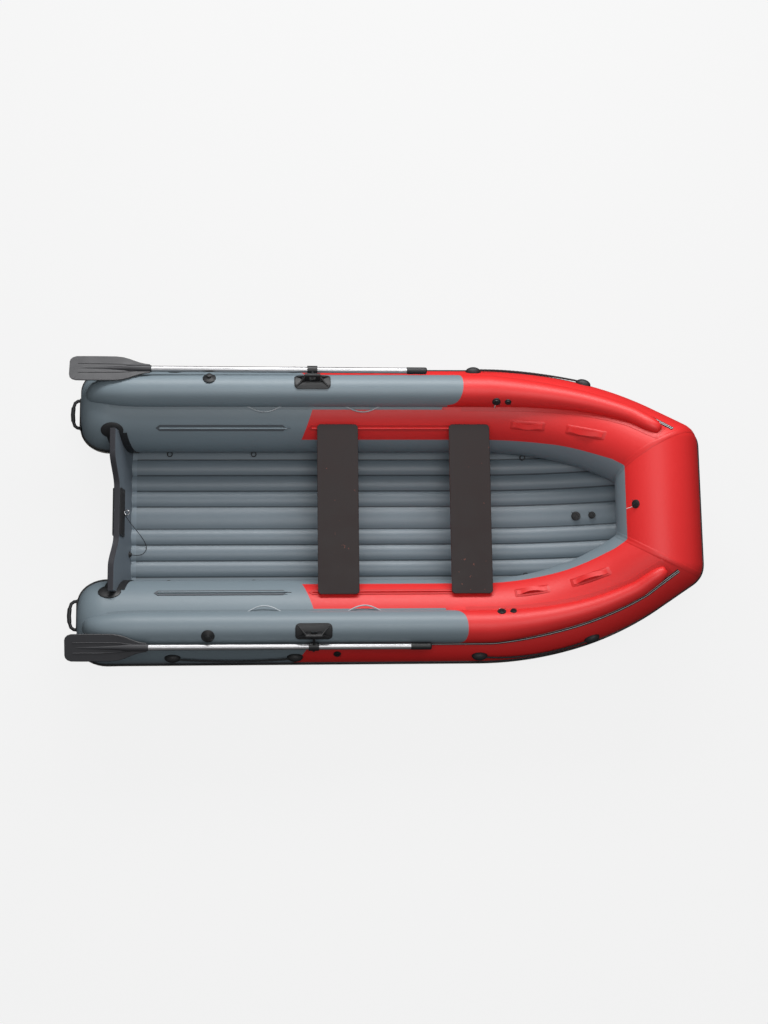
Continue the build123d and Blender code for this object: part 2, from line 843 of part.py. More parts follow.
pair("bulwark_valves", group([
    disc(on_lobe(x, tube_valve_angle), valve_radius, valve_height, valve_height) - bulwark_port - tube_port
    for x in tube_valve_xs
]))
pair("rope_holders", group([rope_holder(on_tube(x, rope_holder_angle)) for x in rope_holder_xs]))
pair("eyelets", group([eyelet(on_tube(x, eyelet_angle)) for x in eyelet_xs]))
write("tow_ring", tow_ring())

bow_valve_place = Plane(
    origin=(
        bow_centre_x - tube_radius * sine(bow_valve_angle),
        0,
        bow_corner.Z + tube_radius * cosine(bow_valve_angle),
    ),
    x_dir=(0, 1, 0),
    z_dir=(-sine(bow_valve_angle), 0, cosine(bow_valve_angle)),
)
write("bow_valve", disc(bow_valve_place, valve_radius, valve_height, valve_height) - tube_bow)


def floor_place(x):
    """Plane on the crown of the floor's centre cell, which rises with the sheer."""
    angle = math.degrees(math.asin(max(x - bend_start_x, 0.0) / sheer_radius))
    reach = sheer_radius + tube_radius - floor_top - cell_crown
    z = tube_radius + sheer_radius - reach * cosine(angle)
    return Plane(origin=(x, 0, z), x_dir=(0, 1, 0), z_dir=(-sine(angle), 0, cosine(angle)))


write("floor_valves", group([
    disc(floor_place(x), valve_radius, valve_height, valve_height) - floor for x in floor_valve_xs
]))
side_fitting = disc(on_tube(side_fitting_x, side_fitting_angle), valve_radius, valve_height, valve_height)
write("side_fitting", starboard(side_fitting - tube_port))

drain_place = lean * Pos(-drain_y, leaning(drain_z), 0)
write("drain_plug", drain_place * Cylinder(
    drain_radius, plate_thickness * 2.0, align=(Align.CENTER, Align.CENTER, Align.MIN)
))
eye_place = lean * Pos(0, leaning(notch_height) - eyebolt_drop, plate_thickness)
write("transom_eyebolt", eye_place * (
    Pos(0, 0, eyebolt_ring + eyebolt_bar) * Rot(90, 0, 0) * Torus(eyebolt_ring, eyebolt_bar)
))
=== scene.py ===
import bpy
import math
from mathutils import Matrix, Vector


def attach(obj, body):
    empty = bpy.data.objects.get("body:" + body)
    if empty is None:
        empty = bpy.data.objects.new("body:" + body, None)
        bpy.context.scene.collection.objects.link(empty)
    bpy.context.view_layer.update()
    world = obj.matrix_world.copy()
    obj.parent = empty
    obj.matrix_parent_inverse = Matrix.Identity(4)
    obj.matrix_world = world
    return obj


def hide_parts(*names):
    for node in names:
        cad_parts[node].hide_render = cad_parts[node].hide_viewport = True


# Looks of an inflatable motor boat: fabric skins, cords, boards, oars and fittings.
# Metres. X runs forward to the bow, Y to port and Z up. Angles about a tube go in degrees
# from its top towards outboard, and a station is the place along X on its centreline.

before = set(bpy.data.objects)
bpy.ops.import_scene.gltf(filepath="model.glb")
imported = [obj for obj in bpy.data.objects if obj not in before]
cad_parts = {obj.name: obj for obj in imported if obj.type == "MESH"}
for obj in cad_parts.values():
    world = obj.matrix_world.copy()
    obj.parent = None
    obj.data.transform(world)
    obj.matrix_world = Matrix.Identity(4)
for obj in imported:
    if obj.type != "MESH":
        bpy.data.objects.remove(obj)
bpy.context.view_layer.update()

# Main tubes, as in the construction
TUBE_RADIUS = 0.240
TUBE_Y = 0.625
STERN_X = -1.780
STERN_TAPER = 0.165
STERN_CAP = 0.112
BEND_X = 0.520
FIRST_BEND_RADIUS = 1.900
FIRST_BEND_END = 1.020
BOW_HEADING = math.radians(34.0)
BOW_X = 1.550
SECOND_BEND_END = BOW_X - 0.120
SHEER_RADIUS = 2.000

# Bulwark lobes on the tubes
LOBE_RADIUS = 0.093
LOBE_ANGLE = 13.8
LOBE_RISE = 0.020
LOBE_START = STERN_X + 0.045
LOBE_FULL = LOBE_START + 0.320
LOBE_TIP = 0.022
LOBE_TAPER_X = 0.600
LOBE_BOW_RADIUS = 0.044
LOBE_NOSE_X = 1.500
LOBE_NOSE_LENGTH = 0.062
LOBE_NOSE_RADIUS = 0.014
LOBE_BOW_ANGLE = 8.0

# Colours, as linear values
RED = (0.700, 0.018, 0.018)
DEEP_RED = tuple(c * 0.72 for c in RED)
GREY = (0.176, 0.222, 0.252)
FLOOR_GREY = (0.146, 0.182, 0.210)
BOARD_GREY = (0.120, 0.145, 0.170)
BOARD_EDGE = (0.034, 0.034, 0.040)
WHITE = (0.700, 0.700, 0.700)
RUBBER_BLACK = (0.010, 0.0105, 0.012)
PLASTIC_BLACK = (0.0095, 0.0098, 0.011)
CREAM = (0.560, 0.520, 0.460)
PLYWOOD = (0.013, 0.0058, 0.0055)
PLY_EDGE = (0.230, 0.060, 0.035)
ALUMINIUM = (0.480, 0.480, 0.490)
STEEL = (0.420, 0.420, 0.430)
BLADE_BLACK = (0.030, 0.030, 0.034)
PALE_WEBBING = (0.400, 0.440, 0.470)
DARK_TRIM = (0.070, 0.080, 0.092)
PAPER = (0.050, 0.050, 0.050)


# Camera, above the boat and a little to starboard

CAMERA_PLACE = Vector((-0.602, -1.744, 10.060))
CAMERA_VIEW = Vector((0.0588, 0.1764, -0.9826))
CAMERA_UP = Vector((0.0025, 0.9842, 0.1769))
FOCAL_PIXELS = 1700.0
FRAME_PIXELS = 1024.0


def make_camera():
    data = bpy.data.cameras.new("photo_camera")
    data.sensor_fit = "VERTICAL"
    data.sensor_height = 36.0
    data.lens = FOCAL_PIXELS * data.sensor_height / FRAME_PIXELS
    data.clip_end = 100.0
    camera = bpy.data.objects.new("photo_camera", data)
    back = -CAMERA_VIEW.normalized()
    right = CAMERA_UP.cross(back).normalized()
    up = back.cross(right)
    turn = Matrix((right, up, back)).transposed()
    camera.matrix_world = Matrix.Translation(CAMERA_PLACE) @ turn.to_4x4()
    bpy.context.collection.objects.link(camera)
    bpy.context.scene.camera = camera


make_camera()


# Tube centreline and its section frames

FIRST_BEND_ANGLE = math.asin((FIRST_BEND_END - BEND_X) / FIRST_BEND_RADIUS)
SECOND_BEND_RADIUS = (SECOND_BEND_END - FIRST_BEND_END) / (
    math.sin(BOW_HEADING) - math.sin(FIRST_BEND_ANGLE)
)


def heading(x):
    if x <= BEND_X:
        return 0.0
    if x <= FIRST_BEND_END:
        return math.asin((x - BEND_X) / FIRST_BEND_RADIUS)
    run = (min(x, SECOND_BEND_END) - FIRST_BEND_END) / SECOND_BEND_RADIUS
    return math.asin(min(math.sin(FIRST_BEND_ANGLE) + run, math.sin(BOW_HEADING)))


def climb(x):
    return math.asin((min(max(x, BEND_X), SECOND_BEND_END) - BEND_X) / SHEER_RADIUS)


def centre(x):
    """Point of the port tube's centreline at the station x."""
    inboard = 0.0
    if x > BEND_X:
        inboard += FIRST_BEND_RADIUS * (1.0 - math.cos(heading(min(x, FIRST_BEND_END))))
    if x > FIRST_BEND_END:
        inboard += SECOND_BEND_RADIUS * (math.cos(FIRST_BEND_ANGLE) - math.cos(heading(x)))
    past = max(x - SECOND_BEND_END, 0.0)
    inboard += past * math.tan(BOW_HEADING)
    up = SHEER_RADIUS * (1.0 - math.cos(climb(x))) + past * math.tan(climb(x))
    return Vector((x, TUBE_Y - inboard, TUBE_RADIUS + up))


def tangent(x):
    return Vector((1.0, -math.tan(heading(x)), math.tan(climb(x)))).normalized()


ATHWART = Vector((0.0, -1.0, 0.0))
CORNER = centre(BOW_X)
MITRE_NORMAL = (tangent(BOW_X) + ATHWART).normalized()


def level_axes(x):
    along = tangent(x)
    outboard = Vector((0.0, 0.0, 1.0)).cross(along).normalized()
    return outboard, along.cross(outboard)


def corner_twist():
    """Turn that brings the side tube's seams to the cross tube's seams at the corner."""
    along = tangent(BOW_X)
    front = Vector((1.0, 0.0, 0.0))
    back = TUBE_RADIUS * front.dot(along) / (1.0 + along.dot(ATHWART))
    meet = front * TUBE_RADIUS - ATHWART * back
    radial = meet - along * meet.dot(along)
    return -math.asin(radial.dot(level_axes(BOW_X)[1]) / TUBE_RADIUS)


FULL_TWIST = corner_twist()


class Section:
    """Frame across the port tube at the station x."""

    def __init__(self, x):
        share = (min(max(x, BEND_X), SECOND_BEND_END) - BEND_X) / (SECOND_BEND_END - BEND_X)
        twist = FULL_TWIST * share * share
        level, rise = level_axes(x)
        self.x = x
        self.middle = centre(x)
        self.along = tangent(x)
        self.outboard = level * math.cos(twist) - rise * math.sin(twist)
        self.up = self.along.cross(self.outboard)

    def outward(self, angle):
        """Unit vector at an angle in degrees from the top towards outboard."""
        turn = math.radians(angle)
        return self.outboard * math.sin(turn) + self.up * math.cos(turn)

    def point(self, angle, radius):
        return self.middle + self.outward(angle) * radius


def on_tube(x, angle, height=0.0):
    return Section(x).point(angle, TUBE_RADIUS + height)


def to_mitre(point, along, setback=0.0):
    """The point moved along the tube until it lies on the mitre plane at the bow corner."""
    gap = (CORNER - point).dot(MITRE_NORMAL) - setback
    return point + along * (gap / along.dot(MITRE_NORMAL))


def mirrored(point):
    return Vector((point[0], -point[1], point[2]))


# Cords: the points of each route, then a smooth spline through them

ROPE_DIAMETER = 0.012
LEASH_DIAMETER = 0.004
TAG_DIAMETER = 0.0045

# Station along the tube, angle about it, height above the skin
AFT_LIFELINE = [
    (-1.226, 63.0, 0.0125),
    (-1.138, 66.0, 0.0115),
    (-1.044, 68.6, 0.0105),
    (-0.940, 70.2, 0.0100),
    (-0.836, 70.4, 0.0100),
    (-0.734, 69.0, 0.0105),
    (-0.638, 66.3, 0.0115),
    (-0.550, 63.0, 0.0125),
]
BOW_LIFELINE = [
    (0.528, 63.0, 0.0125),
    (0.616, 66.2, 0.0115),
    (0.712, 69.0, 0.0105),
    (0.812, 70.3, 0.0100),
    (0.912, 69.6, 0.0100),
    (1.008, 66.9, 0.0110),
    (1.092, 63.0, 0.0125),
]


def spline_through(name, points):
    """One open NURBS spline whose control points are the route's points."""
    curve = bpy.data.curves.new(name, "CURVE")
    curve.dimensions = "3D"
    curve.resolution_u = 24
    spline = curve.splines.new("NURBS")
    spline.points.add(len(points) - 1)
    for target, point in zip(spline.points, points):
        target.co = (*point, 1.0)
    spline.order_u = 3
    spline.use_endpoint_u = True
    return curve


def points_along(name, points):
    """Points read from the route's own spline, from one end to the other."""
    carrier = bpy.data.objects.new(name + "_line", spline_through(name + "_line", points))
    bpy.context.collection.objects.link(carrier)
    mesh = bpy.data.meshes.new_from_object(carrier)
    path = [vertex.co.copy() for vertex in mesh.vertices]
    bpy.data.objects.remove(carrier)
    bpy.data.meshes.remove(mesh)
    return path


def path_length(path):
    return sum((b - a).length for a, b in zip(path, path[1:]))


# Meshes


def new_piece(name, vertices, faces, uvs=None, sharp=35.0):
    """Mesh object with smooth faces, sharp only past an angle, and one UV pair for each corner."""
    mesh = bpy.data.meshes.new(name)
    mesh.from_pydata([tuple(v) for v in vertices], [], faces)
    if uvs:
        layer = mesh.uv_layers.new(name="Surface")
        for loop, pair in zip(layer.data, uvs):
            loop.uv = pair
    mesh.validate()
    mesh.shade_smooth()
    mesh.set_sharp_from_angle(angle=math.radians(sharp))
    piece = bpy.data.objects.new(name, mesh)
    bpy.context.collection.objects.link(piece)
    return piece


def grid(name, rows, marks=None, closed=True, sharp=35.0, flip=False):
    """Skin over rows of points. marks holds each point's UV pair, with one more column if closed."""
    width = len(rows[0])
    vertices = [p for row in rows for p in row]
    faces = []
    uvs = []
    columns = width if closed else width - 1
    for i in range(len(rows) - 1):
        for j in range(columns):
            k = (j + 1) % width
            corners = [(i, j, j), (i, k, j + 1), (i + 1, k, j + 1), (i + 1, j, j)]
            if flip:
                corners.reverse()
            faces.append([r * width + c for r, c, _ in corners])
            if marks:
                uvs += [marks[r][m] for r, _, m in corners]
    return new_piece(name, vertices, faces, uvs, sharp)


def close_ends(rows, middles, share, marks=None):
    """Adds a small row inside each end row, drawn towards that end's middle."""
    for end in (0, -1):
        spot = 0 if end == 0 else len(rows)
        rows.insert(spot, [middles[end].lerp(p, share) for p in rows[end]])
        if marks:
            marks.insert(spot, marks[end])


def round_row(hub, across, up, radius, sides):
    turns = [2.0 * math.pi * j / sides for j in range(sides)]
    return [hub + (across * math.cos(a) + up * math.sin(a)) * radius for a in turns]


def spread(first, last, count):
    return [first + (last - first) * i / (count - 1) for i in range(count)]


def eased(share):
    return share * share * (3.0 - 2.0 * share)


# Shader groups and materials


def add_node(tree, kind, **settings):
    node = tree.nodes.new(kind)
    for key, value in settings.items():
        setattr(node, key, value)
    return node


def feed(tree, socket, value):
    """Link a socket or set a value."""
    if isinstance(value, bpy.types.NodeSocket):
        tree.links.new(value, socket)
    else:
        socket.default_value = value


def calc(tree, operation, *values):
    node = add_node(tree, "ShaderNodeMath", operation=operation)
    for socket, value in zip(node.inputs, values):
        feed(tree, socket, value)
    return node.outputs[0]


def step_mask(tree, value, edge, softness):
    """0 below the edge and 1 above it, with a narrow ramp."""
    node = add_node(tree, "ShaderNodeMapRange", interpolation_type="SMOOTHSTEP")
    feed(tree, node.inputs["Value"], calc(tree, "SUBTRACT", value, edge))
    feed(tree, node.inputs["From Min"], -softness)
    feed(tree, node.inputs["From Max"], softness)
    return node.outputs["Result"]


def noise(tree, vector, scale, detail=3.0, roughness=0.55):
    node = add_node(tree, "ShaderNodeTexNoise")
    feed(tree, node.inputs["Vector"], vector)
    feed(tree, node.inputs["Scale"], scale)
    feed(tree, node.inputs["Detail"], detail)
    feed(tree, node.inputs["Roughness"], roughness)
    return node.outputs["Fac"]


def split(tree, vector):
    """The sockets X, Y and Z of a vector."""
    node = add_node(tree, "ShaderNodeSeparateXYZ")
    feed(tree, node.inputs[0], vector)
    return node.outputs


def line_mask(tree, value, middles, half, softness):
    """1 on each of several lines and 0 beside them."""
    mask = None
    for middle in middles:
        off = calc(tree, "ABSOLUTE", calc(tree, "SUBTRACT", value, middle))
        line = calc(tree, "SUBTRACT", 1.0, step_mask(tree, off, half, softness))
        mask = line if mask is None else calc(tree, "MAXIMUM", mask, line)
    return mask


def scaled(tree, colour, factor):
    """Colour made lighter or darker by a factor."""
    node = add_node(tree, "ShaderNodeVectorMath", operation="SCALE")
    feed(tree, node.inputs[0], colour)
    feed(tree, node.inputs["Scale"], factor)
    return node.outputs[0]


def blend_colour(tree, share, first, second):
    node = add_node(tree, "ShaderNodeMix", data_type="RGBA")
    feed(tree, node.inputs["Factor"], share)
    feed(tree, node.inputs["A"], (*first, 1.0) if isinstance(first, tuple) else first)
    feed(tree, node.inputs["B"], (*second, 1.0) if isinstance(second, tuple) else second)
    return node.outputs["Result"]


def new_group(name, inputs, outputs):
    tree = bpy.data.node_groups.new(name, "ShaderNodeTree")
    for label, kind, default in inputs:
        socket = tree.interface.new_socket(label, in_out="INPUT", socket_type=kind)
        if default is not None:
            socket.default_value = default
    for label, kind in outputs:
        tree.interface.new_socket(label, in_out="OUTPUT", socket_type=kind)
    return tree, tree.nodes.new("NodeGroupInput"), tree.nodes.new("NodeGroupOutput")


NUMBER = "NodeSocketFloat"
VECTOR = "NodeSocketVector"
COLOUR = "NodeSocketColor"


def make_coated_cloth():
    """Weave that shows through a coating, and the slow unevenness of an inflated skin."""
    tree, given, result = new_group(
        "coated_cloth",
        [("Place", VECTOR, None), ("Thread", NUMBER, 0.0016), ("Base", COLOUR, None), ("Mottle", NUMBER, 0.06)],
        [("Colour", COLOUR), ("Height", NUMBER), ("Roughness", NUMBER)],
    )
    place = given.outputs["Place"]
    parts = split(tree, place)
    turn = calc(tree, "DIVIDE", 2.0 * math.pi, given.outputs["Thread"])
    warp = calc(tree, "SINE", calc(tree, "MULTIPLY", parts["X"], turn))
    weft = calc(tree, "SINE", calc(tree, "MULTIPLY", parts["Y"], turn))
    weave = calc(tree, "MULTIPLY", calc(tree, "MULTIPLY", warp, weft), 0.5)
    slow = noise(tree, place, 3.2, 2.0)
    fine = noise(tree, place, 46.0, 4.0, 0.62)
    grain = calc(tree, "SUBTRACT", fine, 0.5)
    shade = calc(tree, "ADD", calc(tree, "SUBTRACT", slow, 0.5), calc(tree, "MULTIPLY", grain, 0.6))
    factor = calc(tree, "ADD", 1.0, calc(tree, "MULTIPLY", shade, given.outputs["Mottle"]))
    height = calc(tree, "ADD", calc(tree, "MULTIPLY", weave, 0.05), calc(tree, "MULTIPLY", fine, 0.35))
    feed(tree, result.inputs["Colour"], scaled(tree, given.outputs["Base"], factor))
    feed(tree, result.inputs["Height"], calc(tree, "ADD", height, calc(tree, "MULTIPLY", slow, 3.0)))
    feed(tree, result.inputs["Roughness"], calc(tree, "MULTIPLY", grain, 0.16))
    return tree


def make_scuffs():
    """Fine grain and dust of a handled hard surface."""
    tree, given, result = new_group(
        "scuffs",
        [("Place", VECTOR, None), ("Grain", NUMBER, 220.0), ("Base", COLOUR, None), ("Amount", NUMBER, 0.25)],
        [("Colour", COLOUR), ("Height", NUMBER), ("Roughness", NUMBER)],
    )
    place = given.outputs["Place"]
    cloud = noise(tree, place, 7.0, 4.0, 0.6)
    dust = calc(tree, "MULTIPLY", calc(tree, "SUBTRACT", cloud, 0.45), given.outputs["Amount"])
    colour = scaled(tree, given.outputs["Base"], calc(tree, "ADD", 1.0, dust))
    feed(tree, result.inputs["Colour"], colour)
    feed(tree, result.inputs["Height"], noise(tree, place, given.outputs["Grain"], 3.0))
    feed(tree, result.inputs["Roughness"], calc(tree, "MULTIPLY", calc(tree, "SUBTRACT", cloud, 0.5), 0.25))
    return tree


COATED_CLOTH = make_coated_cloth()
SCUFFS = make_scuffs()


class Finish:
    """A material under way: its tree, its shader and the place on the surface."""

    def __init__(self, name, space="Object"):
        self.material = bpy.data.materials.new(name)
        self.material.use_nodes = True
        self.tree = self.material.node_tree
        self.shader = self.tree.nodes["Principled BSDF"]
        coordinates = self.tree.nodes.new("ShaderNodeTexCoord")
        self.place = coordinates.outputs[space]
        self.facing = coordinates.outputs["Normal"]

    def dress(self, group, colour, roughness, bump_depth, **inputs):
        """Colour, roughness and bump from a shader group."""
        tree = self.tree
        node = add_node(tree, "ShaderNodeGroup", node_tree=group)
        feed(tree, node.inputs["Place"], self.place)
        feed(tree, node.inputs["Base"], (*colour, 1.0) if isinstance(colour, tuple) else colour)
        for label, value in inputs.items():
            feed(tree, node.inputs[label], value)
        feed(tree, self.shader.inputs["Base Color"], node.outputs["Colour"])
        feed(tree, self.shader.inputs["Roughness"], calc(tree, "ADD", node.outputs["Roughness"], roughness))
        bump = add_node(tree, "ShaderNodeBump")
        bump.inputs["Strength"].default_value = 1.0
        bump.inputs["Distance"].default_value = bump_depth
        feed(tree, bump.inputs["Height"], node.outputs["Height"])
        feed(tree, self.shader.inputs["Normal"], bump.outputs["Normal"])
        return self.material

    def constant(self, **values):
        for label, value in values.items():
            self.shader.inputs[label.replace("_", " ")].default_value = value
        return self


def cloth_finish(name, colour, roughness=0.42, space="UV"):
    finish = Finish(name, space)
    finish.constant(Specular_IOR_Level=0.5)
    return finish.dress(COATED_CLOTH, colour, roughness, 0.0009)


def edged_board_finish(name, face_colour, edge_colour, roughness, amount, grain):
    """Board whose level faces show another colour than its upright ones."""
    finish = Finish(name)
    finish.constant(Specular_IOR_Level=0.35)
    tree = finish.tree
    face = step_mask(tree, calc(tree, "ABSOLUTE", split(tree, finish.facing)["Z"]), 0.5, 0.1)
    worn = step_mask(tree, noise(tree, finish.place, 24.0, 3.0, 0.6), 0.70, 0.01)
    worn_colour = tuple(0.55 * a + 0.45 * b for a, b in zip(face_colour, edge_colour))
    colour = blend_colour(tree, face, edge_colour, blend_colour(tree, worn, face_colour, worn_colour))
    return finish.dress(SCUFFS, colour, roughness, 0.0002, Amount=amount, Grain=grain)


# The floor's welds by their distance from the centreline, with painted shade along the crease at each, and the
# paler strip aft of them
FLOOR_WELDS = (0.066, 0.161, 0.256, 0.351)
CREASE_SHADE_HALF = 0.0045
FLOOR_STRIP = 1.466


def floor_finish():
    """Coated cloth with a line of painted shade in the crease where two cells meet."""
    finish = Finish("floor_fabric")
    finish.constant(Specular_IOR_Level=0.45)
    tree = finish.tree
    parts = split(tree, finish.place)
    crease_shade = line_mask(tree, calc(tree, "ABSOLUTE", parts["Y"]), FLOOR_WELDS, CREASE_SHADE_HALF, 0.0025)
    strip = step_mask(tree, calc(tree, "MULTIPLY", parts["X"], -1.0), FLOOR_STRIP, 0.001)
    # Painted shade: each crease line is darkened to 0.42 of the floor grey.
    colour = blend_colour(tree, crease_shade, FLOOR_GREY, tuple(c * 0.42 for c in FLOOR_GREY))
    colour = blend_colour(tree, strip, colour, tuple(c * 1.16 for c in FLOOR_GREY))
    return finish.dress(COATED_CLOTH, colour, 0.42, 0.0009)


# White lines of the tape, as shares of its width
TAPE_LINES = (0.30, 0.70)
TAPE_LINE_HALF = 0.06


def tape_finish():
    """Black tape with two white lines along it."""
    finish = Finish("striped_tape", "UV")
    tree = finish.tree
    white = line_mask(tree, split(tree, finish.place)["Y"], TAPE_LINES, TAPE_LINE_HALF, 0.01)
    colour = blend_colour(tree, white, RUBBER_BLACK, WHITE)
    return finish.dress(SCUFFS, colour, 0.5, 0.0001, Amount=0.2)


def hard_finish(name, colour, roughness, amount, grain=220.0, metallic=0.0):
    finish = Finish(name)
    finish.constant(Metallic=metallic)
    return finish.dress(SCUFFS, colour, roughness, 0.0002, Amount=amount, Grain=grain)


# Where the red fabric gives way to grey. A slant is metres along X for each degree.

INNER_RED_START = -0.420
INNER_SLANT = 0.00139
OUTER_RED_START = -0.373
OUTER_SLANT = 0.00213
INNER_BAND_ANGLE = -56.7
BAND_RISE = -3.3
BAND_RISE_START = 1.05
BAND_RISE_END = 1.40
INNER_STRIP_ANGLE = -10.9
INNER_STRIP_END = 0.330
TONGUE_TIP = 0.434
TONGUE_LENGTH = 0.088
TONGUE_HALF_ANGLE = 88.0


def tube_finish(name, shade=1.0):
    """Grey aft with a slanted edge, red forward, and a grey band low on the inner side. A shade below 1 darkens
    both colours as painted shade.
    """
    finish = Finish(name, "UV")
    finish.constant(Specular_IOR_Level=0.5)
    tree = finish.tree
    parts = split(tree, finish.place)
    station = parts["X"]
    angle = calc(tree, "MULTIPLY", calc(tree, "DIVIDE", parts["Y"], TUBE_RADIUS), math.degrees(1.0))
    outer = step_mask(tree, angle, 0.0, 0.05)
    slant = calc(tree, "ADD", INNER_SLANT, calc(tree, "MULTIPLY", outer, OUTER_SLANT - INNER_SLANT))
    shift = calc(tree, "MULTIPLY", outer, OUTER_RED_START - INNER_RED_START)
    start = calc(tree, "ADD", INNER_RED_START, shift)
    along = calc(tree, "ADD", station, calc(tree, "MULTIPLY", calc(tree, "ABSOLUTE", angle), slant))
    forward = step_mask(tree, calc(tree, "SUBTRACT", along, start), 0.0, 0.0006)
    bow_share = add_node(tree, "ShaderNodeMapRange", interpolation_type="SMOOTHSTEP")
    feed(tree, bow_share.inputs["Value"], station)
    feed(tree, bow_share.inputs["From Min"], BAND_RISE_START)
    feed(tree, bow_share.inputs["From Max"], BAND_RISE_END)
    rise = calc(tree, "MULTIPLY", bow_share.outputs["Result"], BAND_RISE)
    above = step_mask(tree, calc(tree, "SUBTRACT", angle, rise), INNER_BAND_ANGLE, 0.15)
    by_lobe = step_mask(tree, angle, INNER_STRIP_ANGLE, 0.12)
    strip = calc(tree, "MULTIPLY", by_lobe, calc(tree, "SUBTRACT", 1.0, outer))
    past_strip = step_mask(tree, along, INNER_STRIP_END, 0.0006)
    no_strip = calc(tree, "MAXIMUM", calc(tree, "SUBTRACT", 1.0, strip), past_strip)
    red = calc(tree, "MULTIPLY", calc(tree, "MULTIPLY", forward, above), no_strip)
    colour = blend_colour(tree, red, tuple(c * shade for c in GREY), tuple(c * shade for c in RED))
    return finish.dress(COATED_CLOTH, colour, 0.48, 0.0009)


def lobe_finish():
    """Grey aft, ending in a rounded tongue, and red forward."""
    finish = Finish("lobe_fabric", "UV")
    finish.constant(Specular_IOR_Level=0.5)
    tree = finish.tree
    parts = split(tree, finish.place)
    around = calc(tree, "DIVIDE", parts["Y"], LOBE_RADIUS * math.radians(TONGUE_HALF_ANGLE))
    squared = calc(tree, "MINIMUM", calc(tree, "MULTIPLY", around, around), 1.0)
    fall = calc(tree, "SUBTRACT", 1.0, calc(tree, "SQRT", calc(tree, "SUBTRACT", 1.0, squared)))
    along = calc(tree, "ADD", parts["X"], calc(tree, "MULTIPLY", fall, TONGUE_LENGTH))
    red = step_mask(tree, along, TONGUE_TIP, 0.0006)
    return finish.dress(COATED_CLOTH, blend_colour(tree, red, GREY, RED), 0.47, 0.0009)


MATERIALS = {
    "tube": tube_finish("tube_fabric"),
    # Darker copies of the tube fabric: painted shade along the seam tapes, the mitres and the patches.
    "painted_shade_fabric": tube_finish("tube_fabric_painted_shade", 0.86),
    "faint_painted_shade_fabric": tube_finish("tube_fabric_faint_painted_shade", 0.94),
    "tape": tape_finish(),
    "lobe": lobe_finish(),
    "grey_cloth": cloth_finish("grey_fabric", GREY, 0.42, "Object"),
    "floor_cloth": floor_finish(),
    "red_trim": cloth_finish("red_trim", RED, 0.5, "Object"),
    "deep_red_trim": cloth_finish("deep_red_trim", DEEP_RED, 0.5, "Object"),
    "tag": cloth_finish("white_cord", WHITE, 0.6, "Object"),
    "pale_trim": cloth_finish("pale_grey_trim", PALE_WEBBING, 0.4, "Object"),
    "dark_trim": cloth_finish("dark_grey_trim", DARK_TRIM, 0.5, "Object"),
    "rubber": hard_finish("black_rubber", RUBBER_BLACK, 0.55, 0.2),
    "plastic": hard_finish("black_plastic", PLASTIC_BLACK, 0.5, 0.12),
    "blade": hard_finish("blade_plastic", BLADE_BLACK, 0.5, 0.18),
    "cream": hard_finish("cream_rubber", CREAM, 0.5, 0.2),
    "rope": hard_finish("black_rope", RUBBER_BLACK, 0.7, 0.4, 400.0),
    "plywood": edged_board_finish("film_faced_plywood", PLYWOOD, PLY_EDGE, 0.52, 0.7, 90.0),
    "transom": edged_board_finish("grey_painted_board", BOARD_EDGE, BOARD_GREY, 0.5, 0.25, 120.0),
    "aluminium": hard_finish("aluminium", ALUMINIUM, 0.42, 0.1, 300.0, 1.0),
    "steel": hard_finish("stainless_steel", STEEL, 0.25, 0.1, 300.0, 1.0),
}


def dressed(piece, body, material, slot, *nodes):
    """Gives a piece its finish and its body, and hides the nodes it replaces if any. The slot is not used."""
    piece.data.materials.append(MATERIALS[material])
    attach(piece, body)
    if nodes:
        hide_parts(*nodes)
    return piece


SIDES = ((1.0, "port"), (-1.0, "starboard"))


def sided(point, side):
    return Vector((point[0], point[1] * side, point[2]))


# Side tubes, cross tube and lobes

ROUND = 96
ROUND_ANGLES = [-180.0 + 360.0 * j / ROUND for j in range(ROUND + 1)]


def round_marks(x):
    """UV pairs of a tube's row: its station, and the run of each angle over the skin."""
    return [(x, math.radians(a) * TUBE_RADIUS) for a in ROUND_ANGLES]


def tube_stations():
    """Station and radius of each row, from the middle of the stern cap to the last bend."""
    rows = [(STERN_X, STERN_CAP * share) for share in (0.02, 0.5, 0.9, 1.0)]
    shoulder = STERN_X + STERN_TAPER
    for i in range(1, 17):
        turn = math.radians(90.0 * i / 16)
        radius = STERN_CAP + (TUBE_RADIUS - STERN_CAP) * math.sin(turn)
        rows.append((shoulder - STERN_TAPER * math.cos(turn), radius))
    rows += [(x, TUBE_RADIUS) for x in spread(shoulder, BEND_X, 42)[1:]]
    rows += [(x, TUBE_RADIUS) for x in spread(BEND_X, SECOND_BEND_END, 40)[1:]]
    return rows


# The bow corner: lines along the side tube turn into lines along the cross tube

CORNER_ROUND = 0.082
CORNER_CREASE = 0.008
CORNER_STEPS = 6
LAST_BEND = Section(SECOND_BEND_END)


def corner_round(angle):
    """How far before and past the mitre the line at this angle is rounded."""
    return CORNER_CREASE + (CORNER_ROUND - CORNER_CREASE) * max(math.sin(math.radians(angle)), 0.0)


def corner_point(angle, run, height=0.0):
    """Point on the skin at a run before (less than 0) or past the mitre."""
    meet = to_mitre(LAST_BEND.point(angle, TUBE_RADIUS + height), LAST_BEND.along)
    half = corner_round(angle)
    if run <= -half:
        return meet + LAST_BEND.along * run
    if run >= half:
        return meet + ATHWART * run
    share = (run + half) / (2.0 * half)
    first = meet - LAST_BEND.along * half
    last = meet + ATHWART * half
    return first.lerp(meet, share).lerp(meet.lerp(last, share), share)


def corner_row(angles, share):
    """Row of the corner, from -1 where its rounding starts to 1 where it ends."""
    return [corner_point(a, corner_round(a) * share) for a in angles]


